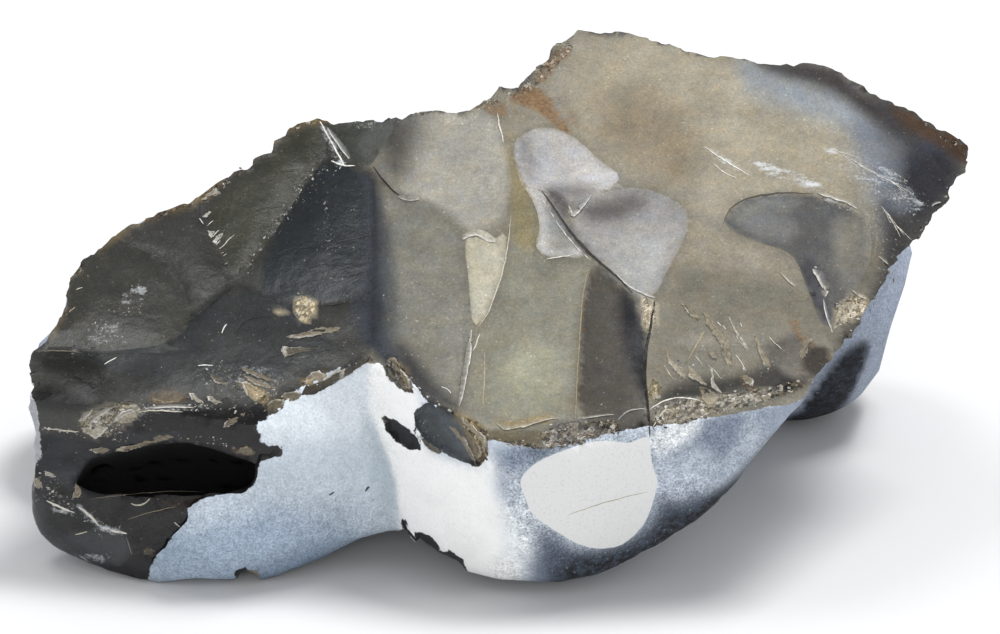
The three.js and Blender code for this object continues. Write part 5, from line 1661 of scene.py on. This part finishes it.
    # The rind ends in a ragged line.
    ragged = add(tree, "MapRange", [mottle, 0.2, 0.8, -0.35, 0.35])
    ragged = add(tree, "Math", [edge, ragged])
    bare = add(tree, "MapRange", [ragged, -0.06, 0.06])
    skin = add(tree, "Mix", {0: bare, FROM: rind, TO: flint}, **COLOUR_MIX)
    tree.links.new(skin, shader.inputs["Base Color"])

    satin = add(tree, "MapRange", [gloss, CAVE_GLOSS, 1, DULL_FLINT, GLOSSY_FLINT])
    satin = add(tree, "Math", [bruise_and_glint, BRUISE_ROUGHNESS, satin], **MULTIPLY_ADD)
    satin = add(tree, "Math", [torn, CRUSHED_ROUGHNESS, satin], **MULTIPLY_ADD)
    roughness = add(tree, "Mix", {"Factor": bare, "A": CHALK_ROUGHNESS, "B": satin})
    tree.links.new(roughness, shader.inputs["Roughness"])
    shader.inputs["IOR"].default_value = FLINT_IOR

    relief = add(tree, "Math", [waves, RIPPLE_RELIEF], **MULTIPLY)
    relief = add(tree, "Math", [mottle, MOTTLE_RELIEF, relief], **MULTIPLY_ADD)
    relief = add(tree, "Math", [grain, GRAIN_RELIEF, relief], **MULTIPLY_ADD)
    relief = add(tree, "Math", [veins, VEIN_RELIEF, relief], **MULTIPLY_ADD)
    heaped = add(tree, "Math", [cell_tone, torn], **MULTIPLY)
    relief = add(tree, "Math", [heaped, CRUSHED_RELIEF, relief], **MULTIPLY_ADD)
    chalky = add(tree, "Math", [mottle, CHALK_RELIEF], **MULTIPLY)
    chalky = add(tree, "Math", [grain, CHALK_GRAIN_RELIEF, chalky], **MULTIPLY_ADD)
    height = add(tree, "Mix", {"Factor": bare, "A": chalky, "B": relief})
    bump = add(tree, "Bump", {"Strength": 1.0, "Distance": MM, "Height": height})
    tree.links.new(bump, shader.inputs["Normal"])
    return finish


stone_data.materials.append(flint_and_rind())


# ---------- splinters and crumbs: thin lips, hackles and chips that stand on the breaks ----------
# Crumbs: count, least and most length in mm, shares of dark, tan and white, lie in degrees, outline.
CRUMB_ZONES = [
    (150, 0.3, 0.8, (0.5, 0.15, 0.35), -5, (542,426, 577,421, 612,418, 622,436, 600,442, 560,447, 542,447)),
    (20, 0.3, 0.7, (0.4, 0.3, 0.3), 0, (494,438, 542,438, 542,448, 494,447)),
    (150, 0.3, 0.85, (0.35, 0.35, 0.3), -10, (655,405, 700,396, 790,383, 815,378, 790,398, 700,420,
        652,434)),
    (130, 0.3, 1.1, (0.35, 0.25, 0.4), 20, (76,428, 100,408, 145,404, 145,412, 100,441, 80,438)),
    (30, 0.25, 0.6, (0.3, 0.2, 0.5), 5, (42,426, 78,430, 78,435, 42,432)),
    (25, 0.3, 0.8, (0.3, 0.4, 0.3), 10, (34,476, 44,478, 74,505, 66,510, 36,492)),
    (70, 0.25, 0.7, (0.25, 0.25, 0.5), 0, (145,405, 222,404, 222,410, 145,411)),
    (36, 0.5, 1.1, (0.4, 0.5, 0.1), 25, (215,408, 262,396, 330,374, 372,356, 350,372, 290,398, 262,412,
        225,420)),
    (18, 0.5, 1.0, (0.3, 0.5, 0.2), -45, (400,368, 430,400, 452,412, 415,378)),
    (30, 0.5, 1.1, (0.3, 0.4, 0.3), -60, (452,412, 470,414, 490,436, 488,460, 478,468, 470,440)),
    (24, 0.4, 0.9, (0.3, 0.3, 0.4), -15, (190,366, 235,370, 285,362, 290,384, 265,398, 200,384)),
    (70, 0.25, 0.7, (0.35, 0.1, 0.55), 60, (300,175, 328,158, 342,168, 318,190, 285,228, 250,272, 240,280,
        262,240)),
    (15, 0.3, 0.7, (0.1, 0.2, 0.7), 45, (135,282, 150,290, 120,325, 85,345, 80,336, 105,312)),
    (18, 0.4, 0.8, (0.2, 0.5, 0.3), 40, (200,200, 232,172, 262,150, 270,152, 210,204)),
    (15, 0.3, 0.7, (0.1, 0.3, 0.6), -35, (812,268, 822,266, 830,290, 824,298, 816,284)),
    (24, 0.5, 1.1, (0.2, 0.5, 0.3), 10, (834,302, 866,294, 870,308, 840,326)),
    (21, 0.4, 1.0, (0.3, 0.4, 0.3), -45, (868,292, 905,245, 915,250, 880,300, 850,335, 845,325)),
    (18, 0.3, 0.7, (0.1, 0.5, 0.4), 30, (476,104, 520,80, 560,38, 578,32, 560,60, 530,88, 490,112)),
    (15, 0.3, 0.7, (0.2, 0.3, 0.5), 0, (820,190, 862,204, 858,214, 822,200)),
    (24, 0.4, 0.9, (0.4, 0.4, 0.2), -55, (662,345, 760,338, 775,372, 720,398, 665,410)),
    (12, 0.5, 1.0, (0.4, 0.4, 0.2), 0, (412,556, 440,570, 468,574, 462,584, 430,578)),
    (14, 0.4, 0.9, (0.4, 0.4, 0.2), 0, (36,468, 60,478, 75,505, 110,528, 100,536, 60,512, 34,492)),
    (34, 0.25, 0.6, (0.4, 0.1, 0.5), 45, (415,412, 422,412, 430,430, 446,448, 440,452, 424,440, 415,425)),
    (40, 0.2, 0.5, (0.2, 0.2, 0.6), 0, (110,434, 128,430, 130,442, 114,444)),
    (40, 0.2, 0.5, (0.3, 0.3, 0.4), 10, (176,434, 225,438, 236,450, 205,444, 180,440)),
    (10, 0.3, 0.7, (0.1, 0.5, 0.4), 20, (640,302, 654,300, 650,330, 645,334)),
]
LEAST_SEEN = 0.45  # crumbs on flint that turns away from the eye are left out
TONE_DARK = 0.1
TONE_TAN = 0.5
TONE_WHITE = 0.9
SIGHT_STEP = 0.6
SIGHT_DEPTHS = np.arange(-48, 60, SIGHT_STEP)
SIGHT_HALVINGS = 6


def seen_depth(u, v):
    """Depth behind the sheet at which the sight line through each point meets the stone, or NaN."""
    depth = np.full(len(u), np.nan)
    for d in SIGHT_DEPTHS:
        left = np.flatnonzero(np.isnan(depth))
        if not len(left):
            break
        inside = stone_distance(from_sheet(u[left], v[left], np.full(len(left), d))) < 0
        depth[left[inside]] = d
    low = depth - SIGHT_STEP
    high = depth.copy()
    for _ in range(SIGHT_HALVINGS):
        middle = (low + high) / 2
        inside = stone_distance(from_sheet(u, v, np.nan_to_num(middle))) < 0
        high = np.where(inside, middle, high)
        low = np.where(inside, low, middle)
    return high


def seen_places(u, v):
    """Where the sight line through each point meets the stone: its depth, the place and the way it faces."""
    depth = seen_depth(u, v)
    places = from_sheet(u, v, np.nan_to_num(depth))
    return depth, places, unit(stone_slope(places, stone_distance(places)))


class Bits:
    """Small closed pieces gathered into one mesh, each corner with its tint."""

    def __init__(self):
        self.corners = []
        self.faces = []
        self.tints = []

    def put(self, corners, faces, tints):
        first = len(self.corners)
        self.corners += corners.tolist()
        self.faces += [[first + n for n in face] for face in faces]
        self.tints += tints.tolist()


# Colours of thin flint and of bruises, by tone.
SPLINTER_TONES = {
    0: "#141415", 0.25: "#42403c", 0.45: "#857a64", 0.6: "#aa9c80", 0.78: "#cdc7b8", 1: "#ebeae6"
}
# Comb teeth: half width and lift in mm, spread of their direction in degrees, least share of their length,
# and how far they reach back from their middle and on from it, in half lengths.
COMB_WIDTH = 0.06
COMB_LIFT = 0.08
COMB_SPREAD = 7
COMB_LEAST = 0.35
COMB_BACK = 0.4
COMB_ON = 1.6


def splinter_tint(tone):
    channels = np.array([linear(tint) for tint in SPLINTER_TONES.values()])
    return np.stack([np.interp(tone, list(SPLINTER_TONES), channels[:, n]) for n in range(3)], -1)


def splinter_lines():
    """Every line, flake and comb tooth: whether it is a flake, tone of its lip, half width, lift, marks."""
    rng = np.random.default_rng(17)
    lines = []
    for flake, kinds in ((False, LINES), (True, FLAKES)):
        lines += [(flake, *kind, softened(on_sheet(marks))) for *kind, marks in kinds]
    for start, end, count, length, degrees, tone in COMBS:
        ends = on_sheet(start + end)
        for n in range(count):
            middle = ends[0] + (ends[1] - ends[0]) * (n + rng.uniform(0, 1)) / count
            turn = math.radians(degrees + rng.normal(0, COMB_SPREAD))
            along = np.array([math.cos(turn), math.sin(turn)]) * length * rng.uniform(COMB_LEAST, 1) / 2
            tooth = np.stack([middle - along * COMB_BACK, middle + along * COMB_ON])
            lines.append((False, tone, COMB_WIDTH, COMB_LIFT, tooth))
    return lines


SPLINTER_STEP = 0.35
SPLINTER_WOBBLE = 0.07
WOBBLE_LENGTH = 0.9
JUMP = 2.5  # splinters whose line jumps in depth by more than this, in mm, are left out
FLUSH = 0.01
ROOT = 0.3
END_DEPTH = 0.05
# Painted shade: the underside of a flake's lip and the root of each splinter keep this share of the flint's
# tone.
UNDER_SHADE = 0.35
PALE_SHARE = 0.72
TOOTH = 1.1
TOOTH_LEAST = 0.25


def resampled(line, step):
    lengths = np.concatenate([[0], np.cumsum(np.hypot(*np.diff(line, axis=0).T))])
    count = max(5, int(round(lengths[-1] / step)) + 1)
    at = np.linspace(0, lengths[-1], count)
    return np.stack([np.interp(at, lengths, line[:, 0]), np.interp(at, lengths, line[:, 1])], -1)


def torn_edge(rng, count):
    """A broken line between TOOTH_LEAST and 1, its teeth about TOOTH mm long."""
    knots = np.cumsum(rng.uniform(0.4, 1.6, count + 2)) * TOOTH / SPLINTER_STEP
    return np.interp(np.arange(count), knots - knots[0], rng.uniform(TOOTH_LEAST, 1, count + 2))


def put_splinters(bits):
    """Each splinter is a thin closed strip: its back lies flush, and its lower side rises to a torn lip."""
    rng = np.random.default_rng(23)
    lines = [(*kind, resampled(line, SPLINTER_STEP)) for *kind, line in splinter_lines()]
    marks = np.concatenate([line for *_, line in lines])
    wobble = np.stack([noise(marks.T, WOBBLE_LENGTH, 91), noise(marks.T, WOBBLE_LENGTH, 92)], -1)
    marks = marks + SPLINTER_WOBBLE * wobble
    depth, places, normals = seen_places(*marks.T)
    ground = flint_tint(*marks.T)
    start = 0
    for flake, tone, width, height, line in lines:
        part = slice(start, start + len(line))
        start += len(line)
        torn = torn_edge(rng, len(line))[:, None]
        patchy = torn_edge(rng, len(line))[:, None]
        if np.isnan(depth[part]).any() or np.abs(np.diff(depth[part])).max() > JUMP:
            continue
        place = places[part]
        normal = normals[part]
        forward = unit(np.gradient(place, axis=0))
        side = unit(np.cross(normal, forward))
        side = side * np.where((side @ SHEET_UP)[:, None] < 0, -1.0, 1.0)
        share = np.linspace(0, 1, len(line))
        taper = np.sqrt(np.clip(np.sin(math.pi * share), 0, 1))[:, None]
        lip = width * taper * (torn if flake else 0.6 + 0.6 * torn)
        back = width * taper * (1.7 if flake else 1)
        rise = (0.04 + height * 0.6) * taper
        around = [
            place + side * back + normal * FLUSH,
            place + side * back * (0.1 if flake else 0.35) + normal * rise * 0.7,
            place - side * lip * 0.9 + normal * rise,
            place - side * lip + normal * FLUSH,
            place - normal * ROOT,
        ]
        pale = np.broadcast_to(splinter_tint(tone), (len(line), 3))
        pale = pale * (0.45 + 0.55 * patchy) if flake else pale
        pale = pale * PALE_SHARE
        # Painted shade under the splinter's lip and at its root.
        under = ground[part] * UNDER_SHADE
        back_tint = ground[part] if flake else pale
        middle_tint = ground[part] * 0.7 + pale * 0.3 if flake else pale
        lip_tint = pale * 0.4 + splinter_tint(min(1, tone + 0.1)) * 0.6 * PALE_SHARE if flake else pale
        tints = np.stack([back_tint, middle_tint, lip_tint, under if flake else pale, under], 1)[1:-1]
        ring = np.stack(around, 1)[1:-1]
        count = ring.shape[1]
        ends = place - normal * END_DEPTH
        corners = np.concatenate([ends[:1], ring.reshape(-1, 3), ends[-1:]])
        tints = np.concatenate([ground[part][:1], tints.reshape(-1, 3), ground[part][-1:]])
        last = len(corners) - 1
        faces = []
        for n in range(count):
            after = (n + 1) % count
            faces.append((0, 1 + after, 1 + n))
            faces.append((last, last - count + n, last - count + after))
            for r in range(len(ring) - 1):
                here = 1 + count * r
                faces.append((here + n, here + after, here + count + after, here + count + n))
        bits.put(corners, faces, tints)


SHARD_STEP = 0.28
SHARD_TEAR = 0.07
SHARD_REACH = 14.0  # shards that span more depth than this, in mm, are left out
SHARD_ROOT = 0.05
SHARD_RINGS = (1.0, 0.86, 0.66, 0.33)
SHARD_OWN_TONE = 0.55  # the rest is the tone of the flint beneath


def put_shards(bits):
    """Each shard is a thin plate: flush on one side, and on the other its rim stands torn off the break."""
    rng = np.random.default_rng(31)
    for body, rim, facing, lift, marks in SHARDS:
        outline = on_sheet(marks)
        outline = resampled(np.concatenate([outline, outline[:1]]), SHARD_STEP)[:-1]
        outline = outline + rng.normal(0, SHARD_TEAR, outline.shape)
        middle = outline.mean(0)
        way = np.array([math.cos(math.radians(facing)), math.sin(math.radians(facing))])
        out = unit(outline - middle) @ way
        line = np.concatenate([middle + (outline - middle) * share for share in SHARD_RINGS] + [middle[None]])
        depth = seen_depth(line[:, 0], line[:, 1])
        if np.isnan(depth).any() or depth.max() - depth.min() > SHARD_REACH:
            continue
        place = from_sheet(line[:, 0], line[:, 1], depth)
        normal = unit(stone_slope(place, stone_distance(place)))
        count = len(outline)
        raised = np.clip(0.4 + 0.6 * out, 0.1, 1) * lift
        rings = [np.full(count, -SHARD_ROOT), raised, raised * 0.7, raised * 0.4, [lift * 0.3]]
        height = np.concatenate(rings)
        torn = clamp01((out - 0.1) / 0.5) * rng.uniform(0.55, 1, count)
        ground = flint_tint(*line.T)
        ground = ground * (1 - SHARD_OWN_TONE) + splinter_tint(body) * PALE_SHARE * SHARD_OWN_TONE
        rim_tint = splinter_tint(rim) * PALE_SHARE
        # Painted shade: the shard's foot, where it meets the break, is half as bright.
        ground[:count] *= 0.5
        ground[count:-1] *= rng.uniform(0.65, 1.2, (len(ground) - 1 - count, 1))
        for ring in (slice(count), slice(count, count * 2)):
            ground[ring] += (rim_tint - ground[ring]) * torn[:, None]
        faces = []
        for n in range(count):
            after = (n + 1) % count
            for ring in range(len(SHARD_RINGS) - 1):
                first = ring * count
                faces.append((first + n, first + after, first + count + after, first + count + n))
            faces.append((len(line) - 1 - count + n, len(line) - 1 - count + after, len(line) - 1))
        bits.put(place + normal * height[:, None], faces, ground)


GOLDEN = (1 + math.sqrt(5)) / 2
# Each crumb is a knocked and flattened body of twelve corners and twenty faces.
CHIP_CORNERS = unit(np.array([
    (-1, GOLDEN, 0), (1, GOLDEN, 0), (-1, -GOLDEN, 0), (1, -GOLDEN, 0), (0, -1, GOLDEN), (0, 1, GOLDEN),
    (0, -1, -GOLDEN), (0, 1, -GOLDEN), (GOLDEN, 0, -1), (GOLDEN, 0, 1), (-GOLDEN, 0, -1), (-GOLDEN, 0, 1),
]))
CHIP_FACES = [
    (0, 11, 5), (0, 5, 1), (0, 1, 7), (0, 7, 10), (0, 10, 11), (1, 5, 9), (5, 11, 4), (11, 10, 2), (10, 7, 6),
    (7, 1, 8), (3, 9, 4), (3, 4, 2), (3, 2, 6), (3, 6, 8), (3, 8, 9), (4, 9, 5), (2, 4, 11), (6, 2, 10),
    (8, 6, 7), (9, 8, 1),
]
CRUMB_SKEW = 2.2  # most crumbs are near their zone's least length
TONE_SPREAD = 0.12
LIE_SPREAD = 28
LEAN_SPREAD = 0.16
CRUMB_WIDTHS = (0.35, 0.7)
CRUMB_HEIGHTS = (0.12, 0.26)
CRUMB_KNOCKS = (0.5, 1.3)
CRUMB_OWN_TONE = 0.6  # the rest is the tone of the flint beneath


def put_crumbs(bits):
    """Angular crumbs that lie scattered in their zones."""
    rng = np.random.default_rng(29)
    marks = []
    kinds = []
    for count, least, most, shares, degrees, zone in CRUMB_ZONES:
        outline = on_sheet(zone)
        low = outline.min(0)
        high = outline.max(0)
        found = 0
        while found < count:
            spot = rng.uniform(low, high)
            if outline_distance(spot[:1], spot[1:], outline)[0] > 0:
                continue
            tone = rng.choice([TONE_DARK, TONE_TAN, TONE_WHITE], p=shares)
            length = least + (most - least) * rng.uniform(0, 1) ** CRUMB_SKEW
            tone = tone + rng.uniform(-TONE_SPREAD, TONE_SPREAD)
            marks.append(spot)
            kinds.append((length, tone, math.radians(degrees + rng.normal(0, LIE_SPREAD))))
            found += 1
    marks = np.array(marks)
    depth, places, normals = seen_places(*marks.T)
    ground = flint_tint(*marks.T)
    for place, normal, under, d, (length, tone, turn) in zip(places, normals, ground, depth, kinds):
        scale = np.array([1, rng.uniform(*CRUMB_WIDTHS), rng.uniform(*CRUMB_HEIGHTS)]) * length / 2
        shape = CHIP_CORNERS * rng.uniform(*CRUMB_KNOCKS, (len(CHIP_CORNERS), 1)) * scale
        if np.isnan(d) or normal @ unit(EYE - place) < LEAST_SEEN:
            continue
        flat = SHEET_RIGHT * math.cos(turn) + SHEET_UP * math.sin(turn)
        forward = unit(flat - normal * (flat @ normal))
        side = np.cross(normal, forward)
        up = unit(normal + side * rng.normal(0, LEAN_SPREAD))
        tint = under * rng.uniform(0.4, 1.5) * (1 - CRUMB_OWN_TONE)
        tint = tint + splinter_tint(tone) * CRUMB_OWN_TONE * PALE_SHARE
        corners = place + shape @ np.stack([forward, np.cross(up, forward), up])
        bits.put(corners, CHIP_FACES, np.broadcast_to(tint, (len(corners), 3)))


BOX_MARGIN = 0.02
bits = Bits()
put_splinters(bits)
put_shards(bits)
put_crumbs(bits)
crumb_corners = np.clip(np.array(bits.corners), low + BOX_MARGIN, high - BOX_MARGIN)
crumb_data = bpy.data.meshes.new("splinters_and_crumbs")
crumb_data.from_pydata((crumb_corners * MM).tolist(), [], bits.faces)
crumb_data.validate()
add_colours(crumb_data, "tint", np.array(bits.tints))
crumbs = bpy.data.objects.new("splinters_and_crumbs", crumb_data)
bpy.context.scene.collection.objects.link(crumbs)


SPLINTER_ROUGHNESS = 0.45


def splinter_flint():
    """Splinters of struck flint. Thin flint lets light through, so it is honey brown where it is thin, dark
    where it is thick, and white where the blow bruised it."""
    finish = bpy.data.materials.new("bruised_flint_splinters")
    finish.use_nodes = True
    tree = finish.node_tree
    shader = tree.nodes["Principled BSDF"]
    place = add(tree, "TexCoord", out="Object")
    tint = add(tree, "Attribute", attribute_name="tint", out="Color")
    streaks = add(tree, "TexNoise", {"Vector": place, "Scale": per_mm(FLECK), "Detail": 3})
    uneven = add(tree, "MapRange", [streaks, *NOISE_SPAN, 0.7, 1.25])
    tint = add(tree, "VectorMath", {0: tint, "Scale": uneven}, **SCALE)
    tree.links.new(tint, shader.inputs["Base Color"])
    shader.inputs["Roughness"].default_value = SPLINTER_ROUGHNESS
    shader.inputs["IOR"].default_value = FLINT_IOR
    return finish


crumb_data.materials.append(splinter_flint())
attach(crumbs, "root")

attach(stone, "root")
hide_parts("flint_stone")

# ---------- floor, light and air ----------
FLOOR_REACH = 4.0
PAPER_TONE = 0.52
PAPER_ROUGHNESS = 0.9
AIR_LIGHT = 0.85
AIR_TINT = (0.95, 0.965, 1, 1)
floor_data = bpy.data.meshes.new("floor")
floor_corners = [(x * FLOOR_REACH, y * FLOOR_REACH, 0) for x, y in ((-1, -1), (1, -1), (1, 1), (-1, 1))]
floor_data.from_pydata(floor_corners, [], [(0, 1, 2, 3)])
floor = bpy.data.objects.new("floor", floor_data)
bpy.context.scene.collection.objects.link(floor)
paper = bpy.data.materials.new("white_paper")
paper.use_nodes = True
paper_shader = paper.node_tree.nodes["Principled BSDF"]
paper_shader.inputs["Base Color"].default_value = (PAPER_TONE, PAPER_TONE, PAPER_TONE, 1)
paper_shader.inputs["Roughness"].default_value = PAPER_ROUGHNESS
floor_data.materials.append(paper)


def softbox(name, place, aim, size, watts):
    """A white rectangular light. Its place, aim and size are in metres."""
    data = bpy.data.lights.new(name, "AREA")
    data.shape = "RECTANGLE"
    data.size = size[0]
    data.size_y = size[1]
    data.energy = watts
    light = bpy.data.objects.new(name, data)
    light.location = place
    direction = np.array(aim, float) - np.array(place, float)
    light.rotation_euler = Vector(direction).to_track_quat("-Z", "Y").to_euler()
    bpy.context.scene.collection.objects.link(light)
    return light


key = softbox("key softbox", (0.95, 0.75, 2.6), (0, 0, 0), (0.9, 0.9), 88)
key.visible_glossy = False  # polarised, so that it leaves no glare on the flint
softbox("sheen softbox", (-0.9, 0.7, 2.3), (0, 0, 0), (0.8, 0.8), 15)
softbox("front softbox", (-0.2, -2.6, 1.1), (0, 0, 0.03), (1.6, 1.2), 24)

world = bpy.data.worlds.new("studio")
world.use_nodes = True
air = world.node_tree.nodes["Background"]
air.inputs["Color"].default_value = AIR_TINT
air.inputs["Strength"].default_value = AIR_LIGHT
world.cycles_visibility.glossy = False
bpy.context.scene.world = world
bpy.context.scene.view_settings.view_transform = "Standard"
